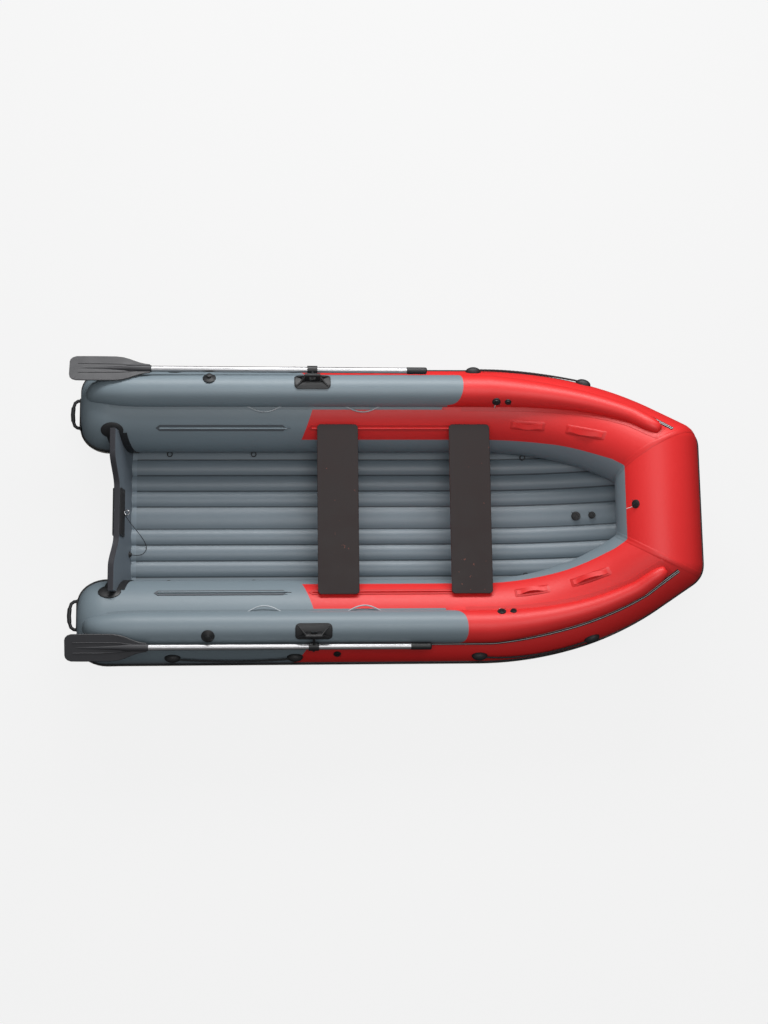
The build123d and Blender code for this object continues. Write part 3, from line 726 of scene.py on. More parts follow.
def make_side_tubes():
    angles = ROUND_ANGLES[:-1]
    for side, word in SIDES:
        rows = []
        marks = []
        for x, radius in tube_stations():
            rows.append([Section(x).point(a, radius) for a in angles])
            marks.append(round_marks(x))
        nears = [LAST_BEND.point(a, TUBE_RADIUS) for a in angles]
        begins = corner_row(angles, -1.0)
        rows.append([near.lerp(begin, 0.5) for near, begin in zip(nears, begins)])
        rows += [corner_row(angles, step / CORNER_STEPS - 1.0) for step in range(CORNER_STEPS + 1)]
        spare = len(rows) - len(marks)
        for i in range(spare):
            marks.append(round_marks(SECOND_BEND_END + (BOW_X - SECOND_BEND_END) * (i + 1) / spare))
        rows = [[sided(p, side) for p in row] for row in rows]
        tube = grid("tube_skin_" + word, rows, marks, flip=side < 0)
        dressed(tube, "hull", "tube", "pvc_tube", "tube_" + word)


def make_cross_tube():
    """Bow tube between the two mitres."""
    angles = ROUND_ANGLES[:-1]
    port = [corner_row(angles, step / CORNER_STEPS) for step in range(CORNER_STEPS + 1)]
    starboard = [[mirrored(p) for p in row] for row in reversed(port)]
    middle = []
    for share in spread(0.0, 1.0, 14)[1:-1]:
        middle.append([p.lerp(q, share) for p, q in zip(port[-1], starboard[0])])
    rows = port + middle + starboard
    marks = [round_marks(BOW_X + 0.1 + (row[0] - rows[0][0]).length) for row in rows]
    dressed(grid("bow_skin", rows, marks), "hull", "tube", "pvc_tube", "tube_bow")


def stern_radius(x):
    gap = STERN_X + STERN_TAPER - x
    if gap <= 0.0:
        return TUBE_RADIUS
    share = min(gap / STERN_TAPER, 1.0)
    return STERN_CAP + (TUBE_RADIUS - STERN_CAP) * math.sqrt(1.0 - share * share)


def lobe_taper(x):
    if x < LOBE_FULL:
        share = max((x - LOBE_START) / (LOBE_FULL - LOBE_START), 0.0)
        return LOBE_TIP + (LOBE_RADIUS - LOBE_TIP) * math.sqrt(share * (2.0 - share))
    share = max(x - LOBE_TAPER_X, 0.0) / (LOBE_NOSE_X - LOBE_TAPER_X)
    return LOBE_RADIUS - (LOBE_RADIUS - LOBE_BOW_RADIUS) * share


def lobe_size(x):
    """Radius of the lobe at the station x, rounded off at its bow end."""
    share = min(max(x - LOBE_NOSE_X, 0.0) / LOBE_NOSE_LENGTH, 1.0)
    left = math.sqrt(1.0 - share * share)
    return LOBE_NOSE_RADIUS * (1.0 - left) + lobe_taper(x) * left


def lobe_angle(x):
    """Angle of the lobe's middle, from the top towards outboard."""
    share = max(min(x, LOBE_NOSE_X) - LOBE_TAPER_X, 0.0) / (LOBE_NOSE_X - LOBE_TAPER_X)
    return LOBE_ANGLE + (LOBE_BOW_ANGLE - LOBE_ANGLE) * share


def lobe_distance(x):
    return stern_radius(x) + LOBE_RISE * lobe_size(x) / LOBE_RADIUS


def lobe_point(section, angle, height=0.0):
    """Point on the lobe's skin, by an angle from the top towards outboard."""
    hub = section.point(lobe_angle(section.x), lobe_distance(section.x))
    return hub + section.outward(angle) * (lobe_size(section.x) + height)


def lobe_foot(x):
    """Angle at which the lobe's outer side meets the tube, its rounded end left out."""
    size = lobe_taper(x)
    far = stern_radius(x) + LOBE_RISE * size / LOBE_RADIUS
    share = (TUBE_RADIUS**2 + far**2 - size**2) / (2.0 * TUBE_RADIUS * far)
    return lobe_angle(x) + math.degrees(math.acos(share))


# How far the lobe's skin goes down to either side of its top
LOBE_REACH = 112.0


def make_lobes():
    """Upper lobes, open where they sit on the tubes and closed at both ends."""
    columns = spread(-LOBE_REACH, LOBE_REACH, 49)
    places = spread(LOBE_START, LOBE_FULL, 16) + spread(LOBE_FULL, BEND_X, 36)[1:]
    places += spread(BEND_X, LOBE_NOSE_X, 40)[1:]
    nose_turns = spread(0.0, math.pi / 2.0, 10)[1:]
    places += [LOBE_NOSE_X + LOBE_NOSE_LENGTH * math.sin(turn) for turn in nose_turns]
    for side, word in SIDES:
        rows = []
        marks = []
        for x in places:
            section = Section(x)
            rows.append([sided(lobe_point(section, lobe_angle(x) + c), side) for c in columns])
            marks.append([(x, math.radians(c) * LOBE_RADIUS) for c in columns])
        middles = [sum(row, Vector()) / len(row) for row in (rows[0], rows[-1])]
        close_ends(rows, middles, 0.05, marks)
        lobe = grid("lobe_skin_" + word, rows, marks, closed=False, flip=side < 0)
        dressed(lobe, "hull", "lobe", "pvc_tube", "bulwark_" + word)


make_side_tubes()
make_cross_tube()
make_lobes()


# Seam tapes: thin ribbons on the skins


def make_ribbon(name, rows, marks, side, material, slot, *nodes):
    """Ribbon over rows of points for the port side, or their mirrored twin."""
    placed = [[sided(p, side) for p in row] for row in rows]
    ribbon = grid(name, placed, marks, closed=False, flip=side < 0, sharp=60.0)
    return dressed(ribbon, "hull", material, slot, *nodes)


# Shares of a ribbon's width and of its height, from edge to edge
RIBBON_PROFILE = ((0.0, -0.3), (0.04, 1.0), (0.35, 1.0), (0.65, 1.0), (0.96, 1.0), (1.0, -0.3))


def tube_ribbon(places, low, high, height):
    """Rows and marks of a ribbon on the tube between two angles, given for each station."""
    rows = []
    marks = []
    for x in places:
        section = Section(x)
        first, last = low(x), high(x)
        row = []
        mark = []
        for share, lift in RIBBON_PROFILE:
            angle = first + (last - first) * share
            row.append(section.point(angle, TUBE_RADIUS + height * lift))
            mark.append((x, math.radians(angle) * TUBE_RADIUS))
        rows.append(row)
        marks.append(mark)
    return rows, marks


def lobe_inner_foot(x):
    return 2.0 * lobe_angle(x) - lobe_foot(x)


# Widths of tapes and seams are in degrees about the tube
TAPE_START = -1.400
TAPE_END = 1.600
TAPE_WIDTH = 6.2
TAPE_GAP = 0.6
TAPE_HEIGHT = 0.0032
SEAM_START = -1.600
SEAM_END = 1.565
SEAM_HEIGHT = 0.0016
FORE_SEAM_WIDTH = 6.0
AFT_SEAM_WIDTH = 3.4
END_PATCH = (1.360, 1.575)
MITRE_SEAM_HALF = 0.020
MITRE_SEAM_HEIGHT = 0.0007
MITRE_SEAM_PROFILE = ((-1.0, -0.3), (-0.92, 1.0), (-0.4, 1.0), (0.0, 1.0), (0.4, 1.0), (0.92, 1.0), (1.0, -0.3))


def make_tapes():
    """Striped tape at the lobe's outer foot."""
    places = spread(TAPE_START, BEND_X, 30) + spread(BEND_X, SECOND_BEND_END, 40)[1:]
    places += spread(SECOND_BEND_END, TAPE_END, 8)[1:]
    for side, word in SIDES:
        rows, marks = tube_ribbon(
            places,
            lambda x: lobe_foot(x) + TAPE_GAP,
            lambda x: lobe_foot(x) + TAPE_GAP + TAPE_WIDTH,
            TAPE_HEIGHT,
        )
        for mark in marks:
            first, last = mark[0][1], mark[-1][1]
            mark[:] = [(x, (y - first) / (last - first)) for x, y in mark]
        make_ribbon("tape_" + word, rows, marks, side, "tape", "rubbing_strip", "joint_tape_" + word)


def lobe_seam(label, places, width, side, word):
    rows, marks = tube_ribbon(
        places,
        lambda x: lobe_inner_foot(x) - width,
        lambda x: lobe_inner_foot(x) + 1.5,
        SEAM_HEIGHT,
    )
    make_ribbon("lobe_seam_%s_%s" % (label, word), rows, marks, side, "painted_shade_fabric", "pvc_tube")


def lobe_end_patch(side, word):
    rows, marks = tube_ribbon(
        spread(*END_PATCH, 12),
        lambda x: lobe_inner_foot(x) - 6.5,
        lambda x: lobe_foot(x) - 0.5,
        SEAM_HEIGHT * 0.7,
    )
    make_ribbon("lobe_end_patch_" + word, rows, marks, side, "painted_shade_fabric", "pvc_tube")


def mitre_seam(side, word):
    rows = []
    marks = []
    for angle in spread(-150.0, 150.0, 76):
        runs = [(MITRE_SEAM_HALF * share, MITRE_SEAM_HEIGHT * lift) for share, lift in MITRE_SEAM_PROFILE]
        rows.append([corner_point(angle, run, height) for run, height in runs])
        marks.append([(BOW_X + run, math.radians(angle) * TUBE_RADIUS) for run, _ in runs])
    make_ribbon("mitre_seam_" + word, rows, marks, -side, "faint_painted_shade_fabric", "pvc_tube")


def make_seams():
    """Weld tapes beside the lobes, under their bow ends and round the mitres, in a darker copy of the tube
    fabric as painted shade.
    """
    fore = spread(INNER_STRIP_END + 0.1, BEND_X, 5) + spread(BEND_X, SECOND_BEND_END, 40)[1:]
    fore += spread(SECOND_BEND_END, SEAM_END, 6)[1:]
    aft = spread(SEAM_START, INNER_STRIP_END, 40)
    for side, word in SIDES:
        lobe_seam("fore", fore, FORE_SEAM_WIDTH, side, word)
        lobe_seam("aft", aft, AFT_SEAM_WIDTH, side, word)
        lobe_end_patch(side, word)
        mitre_seam(side, word)


make_tapes()
make_seams()


# Ropes: three strands twisted along the line read from each route's spline

# Turn of the strands in radians for each metre of rope
STRAND_TURN = 260.0
ROPE_SIDES = 18


def rope_mesh(name, path, radius):
    rows = []
    marks = []
    run = 0.0
    across = None
    for i, point in enumerate(path):
        ahead = (path[min(i + 1, len(path) - 1)] - path[max(i - 1, 0)]).normalized()
        if across is None:
            across = ahead.cross(Vector((0.0, 0.0, 1.0))).normalized()
        across = (across - ahead * across.dot(ahead)).normalized()
        up = ahead.cross(across)
        run += (point - path[max(i - 1, 0)]).length
        row = []
        mark = []
        for j in range(ROPE_SIDES + 1):
            turn = 2.0 * math.pi * j / ROPE_SIDES
            bulge = abs(math.cos(1.5 * turn - STRAND_TURN * run * 0.5))
            size = radius * (0.80 + 0.20 * bulge)
            row.append(point + (across * math.cos(turn) + up * math.sin(turn)) * size)
            mark.append((run, radius * turn))
        rows.append(row[:-1])
        marks.append(mark)
    close_ends(rows, path, 0.1, marks)
    return grid(name, rows, marks, sharp=70.0, flip=True)


def make_cord(name, route, diameter, finish):
    line = points_along(name, route)
    cord = rope_mesh(name + "_rope", line, diameter / 2.0)
    dressed(cord, "hull", finish, None)
    tuple(line[0])
    path_length(line)
    [tuple(p) for p in line]


def make_lifelines():
    for side, word in SIDES:
        for label, route in (("aft", AFT_LIFELINE), ("bow", BOW_LIFELINE)):
            points = [sided(on_tube(*place), side) for place in route]
            make_cord("lifeline_%s_%s" % (label, word), points, ROPE_DIAMETER, "rope")


# The drain plug's leash, from the eyebolt over the floor to the plug
LEASH_ROUTE = [
    (-1.518, -0.012, 0.352),
    (-1.492, -0.050, 0.290),
    (-1.446, -0.098, 0.200),
    (-1.412, -0.146, 0.1665),
    (-1.402, -0.190, 0.1660),
    (-1.432, -0.220, 0.1700),
    (-1.470, -0.226, 0.1900),
    (-1.492, -0.222, 0.2010),
]

make_lifelines()
make_cord("plug_leash", [Vector(p) for p in LEASH_ROUTE], LEASH_DIAMETER, "rope")


# Solid pieces

TURNED_SIDES = 32


def sweep(name, path, radius, sides):
    """Round bar along a path. radius gives the size for a share of the path."""
    rows = []
    across = None
    for i, point in enumerate(path):
        ahead = (path[min(i + 1, len(path) - 1)] - path[max(i - 1, 0)]).normalized()
        if across is None:
            across = ahead.orthogonal().normalized()
        across = (across - ahead * across.dot(ahead)).normalized()
        rows.append(round_row(point, across, ahead.cross(across), radius(i / (len(path) - 1)), sides))
    close_ends(rows, path, 0.05)
    return grid(name, rows, sharp=40.0, flip=True)


def slab(name, outline, place, low, high, bevel):
    """Plate over an outline between two heights, its rims bevelled. place maps (u, v, w) to a point."""
    width = len(outline)

    def inset_row(inset, height):
        row = []
        for i in range(width):
            before, here, after = (Vector(outline[(i + k) % width]) for k in (-1, 0, 1))
            first, second = (here - before).normalized(), (after - here).normalized()
            normal = Vector((first.y + second.y, -first.x - second.x)).normalized()
            spot = here - normal * inset
            row.append(place(spot.x, spot.y, height))
        return row

    levels = ((bevel, low), (0.0, low + bevel), (0.0, high - bevel), (bevel, high))
    vertices = [p for inset, height in levels for p in inset_row(inset, height)]
    faces = []
    for start in (0, width, 2 * width):
        for j in range(width):
            k = (j + 1) % width
            faces.append([start + j, start + k, start + width + k, start + width + j])
    faces += [list(range(width))[::-1], [3 * width + j for j in range(width)]]
    return new_piece(name, vertices, faces, None, 30.0)


def turned(name, hub, axis, profile):
    """Round piece from a profile of (radius, height) pairs along an axis."""
    across = axis.orthogonal().normalized()
    up = axis.cross(across)
    rows = []
    for radius, height in profile:
        rows.append(round_row(hub + axis * height, across, up, max(radius, 1e-5), TURNED_SIDES))
    return grid(name, rows, sharp=30.0)


def joined(name, pieces):
    """One mesh from several."""
    vertices = []
    faces = []
    for piece in pieces:
        start = len(vertices)
        vertices += [v.co.copy() for v in piece.data.vertices]
        faces += [[start + i for i in face.vertices] for face in piece.data.polygons]
        mesh = piece.data
        bpy.data.objects.remove(piece)
        bpy.data.meshes.remove(mesh)
    return new_piece(name, vertices, faces, None, 35.0)


def rounded(half_length, half_width, radius, steps=5):
    """Outline of a rectangle with round corners, anticlockwise."""
    points = []
    for sx, sy, start in ((1, 1, 0.0), (-1, 1, 90.0), (-1, -1, 180.0), (1, -1, 270.0)):
        for k in range(steps + 1):
            turn = math.radians(start + 90.0 * k / steps)
            x = sx * (half_length - radius) + radius * math.cos(turn)
            points.append((x, sy * (half_width - radius) + radius * math.sin(turn)))
    return points


def moulded(name, pieces, node, body="hull"):
    """Black plastic piece made of several, in place of a node."""
    return dressed(joined(name, pieces), body, "plastic", "black_plastic", node)


# Rubbing strake with its cream line, all round the hull

STRAKE_PROUD = 0.010
STRAKE_HALF = 7.2
STRAKE_SUNK = -0.004
STRAKE_RIM = 0.006
STERN_STEPS = 10

# Share of the half width, height above the skin
STRAKE_BAND = (
    (-1.0, STRAKE_SUNK),
    (-1.0, STRAKE_RIM),
    (-0.8, STRAKE_PROUD),
    (-0.25, STRAKE_PROUD),
    (-0.2, STRAKE_PROUD - 0.002),
    (0.2, STRAKE_PROUD - 0.002),
    (0.25, STRAKE_PROUD),
    (0.8, STRAKE_PROUD),
    (1.0, STRAKE_RIM),
    (1.0, STRAKE_SUNK),
)
STRAKE_LINE = (
    (-0.17, STRAKE_RIM),
    (-0.12, STRAKE_PROUD + 0.001),
    (0.12, STRAKE_PROUD + 0.001),
    (0.17, STRAKE_RIM),
)


def stern_place(x, out, normal):
    """Place of the strake on the level line round the stern cone."""
    spot = Vector((x, TUBE_Y + out, TUBE_RADIUS))
    drop = TUBE_RADIUS * math.sin(math.radians(1.0))
    return lambda angle, height: spot + normal * height + Vector((0.0, 0.0, -angle * drop))


def cone_place(step, flank):
    """Place on the cone's inner (-1) or outer (1) flank, counted forward from the cap."""
    slope = math.radians(90.0 * step / STERN_STEPS)
    x = STERN_X + STERN_TAPER * (1.0 - math.cos(slope))
    return stern_place(x, flank * stern_radius(x), Vector((-math.cos(slope), flank * math.sin(slope), 0.0)))


def strake_places():
    """The port strake's places, from inside the stern round to the bow."""
    places = [cone_place(step, -1.0) for step in range(STERN_STEPS, 0, -1)]
    places += [stern_place(STERN_X, out, Vector((-1.0, 0.0, 0.0))) for out in (-STERN_CAP, 0.0, STERN_CAP)]
    places += [cone_place(step, 1.0) for step in range(1, STERN_STEPS + 1)]
    for x in spread(STERN_X + STERN_TAPER, BEND_X, 24)[1:] + spread(BEND_X, SECOND_BEND_END, 30)[1:]:
        places.append(lambda a, h, s=Section(x): s.point(90.0 + a, TUBE_RADIUS + h))
    for share in spread(-1.0, 1.0, 13):
        places.append(lambda a, h, s=share: corner_point(90.0 + a, corner_round(90.0 + a) * s, h))
    return places


def make_strake(name, profile, finish, *nodes):
    rows = [[place(share * STRAKE_HALF, height) for share, height in profile] for place in strake_places()]
    rows += [[mirrored(p) for p in row] for row in reversed(rows)]
    piece = grid(name, rows, closed=False, sharp=30.0, flip=True)
    dressed(piece, "hull", finish, "rubbing_strip", *nodes)


make_strake("strake_band", STRAKE_BAND, "rubber", "strake_port", "strake_starboard", "strake_bow")
make_strake("strake_line", STRAKE_LINE, "cream")


# Transom board with its plates and holders

TRANSOM_FOOT = -1.460
TRANSOM_RAKE = math.radians(12.0)
TRANSOM_THICKNESS = 0.034
BOARD_TOP = 0.490 / math.cos(TRANSOM_RAKE)
BOARD_NOTCH = 0.398 / math.cos(TRANSOM_RAKE)
BOARD_FOOT = 0.042 / math.cos(TRANSOM_RAKE)
NOTCH_FROM = 0.140
NOTCH_TO = 0.335
BOARD_HALF = 0.470
BOARD_AHEAD = Vector((math.cos(TRANSOM_RAKE), 0.0, math.sin(TRANSOM_RAKE)))
BOARD_RISE = Vector((-math.sin(TRANSOM_RAKE), 0.0, math.cos(TRANSOM_RAKE)))

PLATE_HALF_LENGTH = 0.140
PLATE_HALF_HEIGHT = 0.040
PLATE_CORNER = 0.010
PLATE_THICKNESS = 0.008
PLATE_BELOW_NOTCH = 0.046
PLATE_RIBS = 5
PLATE_RIB_PITCH = 0.014
PLATE_RIB_HALF = (0.128, 0.0022)
PLATE_RIB_CORNER = 0.0018


def on_board(y, up, out):
    """Point on the leaning board: across, up the board and out of its inner face."""
    return Vector((TRANSOM_FOOT, y, 0.0)) + BOARD_RISE * up + BOARD_AHEAD * out


def make_transom():
    """Board whose top edge sweeps down to the notch in a soft S on each side."""
    half = [(BOARD_HALF, BOARD_FOOT), (BOARD_HALF, BOARD_TOP)]
    for share in spread(0.0, 1.0, 15):
        y = NOTCH_TO + (NOTCH_FROM - NOTCH_TO) * share
        half.append((y, BOARD_TOP + (BOARD_NOTCH - BOARD_TOP) * eased(share)))
    outline = half + [(-y, v) for y, v in reversed(half)]
    board = slab("transom_board", outline, on_board, -TRANSOM_THICKNESS, 0.0, 0.004)
    dressed(board, "hull", "transom", "transom_board", "transom")


def make_motor_plate(name, face, sign):
    """Ribbed plate on the board's face at a distance out, towards the side of the sign."""
    middle = BOARD_NOTCH - PLATE_BELOW_NOTCH
    outline = [(u, v + middle) for u, v in rounded(PLATE_HALF_LENGTH, PLATE_HALF_HEIGHT, PLATE_CORNER)]
    top = face + sign * PLATE_THICKNESS
    pieces = [slab("plate", outline, on_board, min(face, top), max(face, top), 0.002)]
    for k in range(PLATE_RIBS):
        shift = middle + PLATE_RIB_PITCH * (k - (PLATE_RIBS - 1) / 2.0)
        rib = [(u, v + shift) for u, v in rounded(*PLATE_RIB_HALF, PLATE_RIB_CORNER, 2)]
        ends = sorted((top - sign * 0.001, top + sign * 0.002))
        pieces.append(slab("rib", rib, on_board, ends[0], ends[1], 0.0005))
    moulded("motor_plate_%s_skin" % name, pieces, "motor_plate_" + name)


HOLDER_BAND = 0.042
HOLDER_ANGLES = (-132.0, -44.0)
HOLDER_PAD = (-1.590, -40.5)
HOLDER_PAD_HALF = (0.066, 0.050)
HOLDER_PAD_PROFILE = ((0.02, 0.0072), (0.5, 0.0070), (0.92, 0.0062), (0.98, 0.0050), (1.0, -0.001))
HOLDER_PAD_SIDES = 40


def holder_band(near, far, side):
    """Band on the tube beside the board, between two distances ahead of its inner face."""
    rows = []
    for angle in spread(*HOLDER_ANGLES, 24):
        edge = TRANSOM_FOOT - on_tube(TRANSOM_FOOT, angle).z * math.tan(TRANSOM_RAKE)
        profile = ((near, -0.001), (near, 0.006), (far - 0.002, 0.005), (far, -0.001))
        rows.append([sided(on_tube(edge + x, angle, lift), side) for x, lift in profile])
    return grid("band", rows, closed=False, flip=side > 0)


def holder_pad(side):
    """Oval pad on top of the tube, over the board's end."""
    rows = []
    for share, lift in HOLDER_PAD_PROFILE:
        row = []
        for k in range(HOLDER_PAD_SIDES):
            turn = 2.0 * math.pi * k / HOLDER_PAD_SIDES
            x = HOLDER_PAD[0] + HOLDER_PAD_HALF[0] * share * math.cos(turn)
            over = HOLDER_PAD_HALF[1] * share * math.sin(turn)
            angle = HOLDER_PAD[1] + math.degrees(over / TUBE_RADIUS)
            row.append(sided(Section(x).point(angle, stern_radius(x) + lift), side))
        rows.append(row)
    return grid("pad", rows, flip=side < 0)


def make_holders():
    aft_face = TRANSOM_THICKNESS / math.cos(TRANSOM_RAKE)
    for side, word in SIDES:
        pieces = [
            holder_band(0.0, HOLDER_BAND, side),
            holder_band(-aft_face - HOLDER_BAND, -aft_face, side),
            holder_pad(side),
        ]
        holder = joined("transom_holder_skin_" + word, pieces)
        dressed(holder, "hull", "plastic", "rubbing_strip", "transom_holder_" + word)


make_transom()
make_motor_plate("inner", 0.0, 1.0)
make_motor_plate("aft", -TRANSOM_THICKNESS, -1.0)
make_holders()


# Oar blades, rowlock pads and handles

ROWLOCK_X = -0.436
ROWLOCK_ANGLE = 28.0
PAD_ANGLE = 21.0
BARREL_RISE = 0.040
STEM_LENGTH = 0.091
STEM_DROP = math.radians(56.0)
SHAFT_SLOPE = math.radians(1.2)
BLADE_REACH = 1.384
BLADE_TURN = math.radians(-20.0)
BLADE_THICKNESS = 0.009

# Half widths of the blade by the distance from its tip
BLADE_SIDE = [
    (0.0, 0.044),
    (0.004, 0.058),
    (0.016, 0.071),
    (0.036, 0.078),
    (0.090, 0.079),
    (0.200, 0.079),
    (0.262, 0.078),
    (0.300, 0.073),
    (0.335, 0.062),
    (0.365, 0.049),
    (0.395, 0.037),
    (0.425, 0.029),
    (0.452, 0.026),
]
BLADE_SPINE = (0.060, 0.200, 0.300, 0.350, 0.400, 0.452, 0.462)
SPINE_SIZES = (0.005, 0.009, 0.015, 0.0215, 0.0215, 0.0215, 0.0195)
BLADE_RIB = ((0.045, 0.030), (0.200, 0.030), (0.290, 0.028), (0.350, 0.022), (0.400, 0.014))


def rowlock_barrel():
    return lobe_point(Section(ROWLOCK_X), ROWLOCK_ANGLE, BARREL_RISE)


def oar_place(side):
    """Maps oar coordinates (along, across, up), turned with the blade, to points."""
    stem = Vector((0.0, math.cos(STEM_DROP), -math.sin(STEM_DROP)))
    hub = rowlock_barrel() + stem * STEM_LENGTH
    along = Vector((math.cos(SHAFT_SLOPE), 0.0, -math.sin(SHAFT_SLOPE)))
    level = Vector((0.0, 1.0, 0.0))
    rise = Vector((math.sin(SHAFT_SLOPE), 0.0, math.cos(SHAFT_SLOPE)))
    across = level * math.cos(BLADE_TURN) + rise * math.sin(BLADE_TURN)
    up = along.cross(across)
    return lambda u, v, w: sided(hub + along * (u - BLADE_REACH) + across * v + up * w, side)


def make_blades():
    """Flat blades with a spine in the middle and a rib on each side of it."""
    half_thickness = BLADE_THICKNESS / 2.0
    outline = BLADE_SIDE + [(u, -v) for u, v in reversed(BLADE_SIDE)]
    for side, word in SIDES:
        place = oar_place(side)
        turned_way = outline if side > 0 else outline[::-1]
        pieces = [slab("blade", turned_way, place, -half_thickness, half_thickness, 0.003)]
        spine = [place(u, 0.0, 0.0) for u in BLADE_SPINE]
        last = len(SPINE_SIZES) - 1
        pieces.append(sweep("spine", spine, lambda s: SPINE_SIZES[int(round(s * last))], 20))
        for lift in (-half_thickness, half_thickness):
            for sign in (-1.0, 1.0):
                path = [place(u, sign * v, lift) for u, v in BLADE_RIB]
                pieces.append(sweep("rib", path, lambda s: 0.0030, 8))
        blade = joined("oar_blade_skin_" + word, pieces)
        dressed(blade, "oar_" + word, "blade", "black_plastic", "oar_blade_" + word)


# Rowlock pads: inset and height of each row from the rim inwards
PAD_HALF_LENGTH = 0.104
PAD_HALF_WIDTH = 0.047
PAD_CORNER = 0.026
PAD_PROFILE = ((0.0, -0.001), (0.0, 0.005), (0.002, 0.0065), (0.012, 0.007), (0.030, 0.0075), (0.046, 0.008))
PAD_RIB_FOOT = (0.092, 0.034)
EAR_X = 0.031
EAR_HALF = 0.0135
EAR_RADIUS = 0.0115
LEG_HALF_WIDTH = 0.0110
LEG_DROP = 0.040
PIN_HALF = 0.047
PIN_RADIUS = 0.004


def pad_point(u, v, w, side):
    """Point of the pad: along and across from its middle, and its height above the lobe."""
    angle = PAD_ANGLE + math.degrees(v / LOBE_RADIUS)
    return sided(lobe_point(Section(ROWLOCK_X + u), angle, w), side)


def rowlock_ear(sign, side):
    """Ear of the hinge on its leg, with two ribs down to the pad's corners."""
    turn = math.radians(ROWLOCK_ANGLE)
    out = Vector((0.0, math.sin(turn), math.cos(turn)))
    over = Vector((0.0, math.cos(turn), -math.sin(turn)))
    ahead = Vector((1.0, 0.0, 0.0))
    middle = rowlock_barrel() + ahead * (sign * EAR_X)
    bar = [sided(middle + ahead * d, side) for d in (-EAR_HALF, EAR_HALF)]
    corners = rounded(EAR_HALF, LEG_HALF_WIDTH, 0.003, 2)

    def on_leg(u, v, w):
        return sided(middle + ahead * u + over * v * side + out * w, side)

    pieces = [
        sweep("ear", bar, lambda s: EAR_RADIUS, 20),
        slab("leg", corners, on_leg, -LEG_DROP, 0.0, 0.001),
    ]
    for lean in (-1.0, 1.0):
        top = sided(middle + out * -0.006 + ahead * (sign * 0.010), side)
        low = pad_point(sign * PAD_RIB_FOOT[0], lean * PAD_RIB_FOOT[1], 0.006, side)
        mid = top.lerp(low, 0.5) + sided(out, side) * -0.006
        pieces.append(sweep("rib", [top, mid, low], lambda s: 0.0060 - 0.0020 * s, 10))
    return pieces


def make_rowlock_pads():
    """Rounded pads on the lobes with four ribs that run up to the hinge's ears."""
    for side, word in SIDES:
        rows = []
        for inset, lift in PAD_PROFILE:
            half_width = max(PAD_HALF_WIDTH - inset, 0.001)
            points = rounded(PAD_HALF_LENGTH - inset, half_width, max(PAD_CORNER - inset, 0.0008), 6)
            rows.append([pad_point(u, v, lift, side) for u, v in points])
        pieces = [grid("pad", rows, flip=side > 0)]
        for sign in (-1.0, 1.0):
            pieces += rowlock_ear(sign, side)
        ends = (Vector((-PIN_HALF, 0.0, 0.0)), Vector((PIN_HALF, 0.0, 0.0)))
        pin = [sided(rowlock_barrel() + end, side) for end in ends]
        pieces.append(sweep("pin", pin, lambda s: PIN_RADIUS, 10))
        moulded("rowlock_pad_" + word, pieces, "rowlock_base_" + word)


# Stern handles: across and out of the stern cap
HANDLE_Y = 0.590
HANDLE_Z = 0.302
HANDLE_BAR = [
    (-0.082, 0.004),
    (-0.080, 0.022),
    (-0.068, 0.038),
    (-0.040, 0.047),
    (0.0, 0.050),
    (0.040, 0.047),
    (0.068, 0.038),
    (0.080, 0.022),
    (0.082, 0.004),
]


def make_stern_handles():
    for side, word in SIDES:

        def place(u, v, w, side=side):
            return sided(Vector((STERN_X - w, HANDLE_Y + u, HANDLE_Z + v)), side)

        path = [place(u, 0.0, w) for u, w in HANDLE_BAR]
        outline = rounded(0.094, 0.021, 0.020, 6)
        pieces = [
            sweep("bar", path, lambda s: 0.0098, 14),
            sweep("grip", path[3:6], lambda s: 0.0125, 16),
            slab("foot", outline if side < 0 else outline[::-1], place, -0.002, 0.008, 0.003),
        ]
        moulded("stern_handle_skin_" + word, pieces, "stern_handle_" + word)


# Handles: stations, angle, half length, and half length and half width of their patches
AFT_STRAPS = (-0.714, -0.146)
AFT_STRAP_ANGLE = -6.5
AFT_STRAP_HALF = 0.099
AFT_PATCH = (0.120, 0.022)
BOW_STRAPS = (0.871, 1.237)
BOW_STRAP_ANGLE = -30.8
BOW_STRAP_HALF = 0.100
BOW_STRAP_WIDTH = 0.027
BOW_PATCH = (0.118, 0.028)
PATCH_CORNER = 0.012
PATCH_HEIGHT = 0.0012
STRAP_THICKNESS = 0.0028
STRAP_RISE = 0.014


def webbing(x_middle, side):
    """Flat bow strap, raised in its middle and lying over a little inboard."""
    rows = []
    for share in spread(0.0, 1.0, 21):
        bulge = max(math.sin(math.pi * min(max(share * 1.3 - 0.15, 0.0), 1.0)), 0.0)
        section = Section(x_middle + BOW_STRAP_HALF * (2.0 * share - 1.0))
        turn = math.degrees(BOW_STRAP_WIDTH / 2.0 / TUBE_RADIUS)
        middle = BOW_STRAP_ANGLE - math.degrees(0.006 * bulge / TUBE_RADIUS)
        low = TUBE_RADIUS + PATCH_HEIGHT + STRAP_RISE * bulge
        corners = ((-turn, 0.0), (-turn, STRAP_THICKNESS), (turn, STRAP_THICKNESS), (turn, 0.0))
        rows.append([sided(section.point(middle + a, low + h), side) for a, h in corners])
    return grid("band", rows, flip=side > 0)


def loop_handle(x_middle, side):
    """Round aft loop that lies over inboard."""
    path = []
    for share in spread(0.0, 1.0, 17):
        bulge = math.sin(math.pi * share)
        x = x_middle + AFT_STRAP_HALF * (2.0 * share - 1.0)
        path.append(sided(on_tube(x, AFT_STRAP_ANGLE - 7.5 * bulge, 0.004 + 0.014 * bulge), side))
    return sweep("loop", path, lambda s: 0.0036, 10)


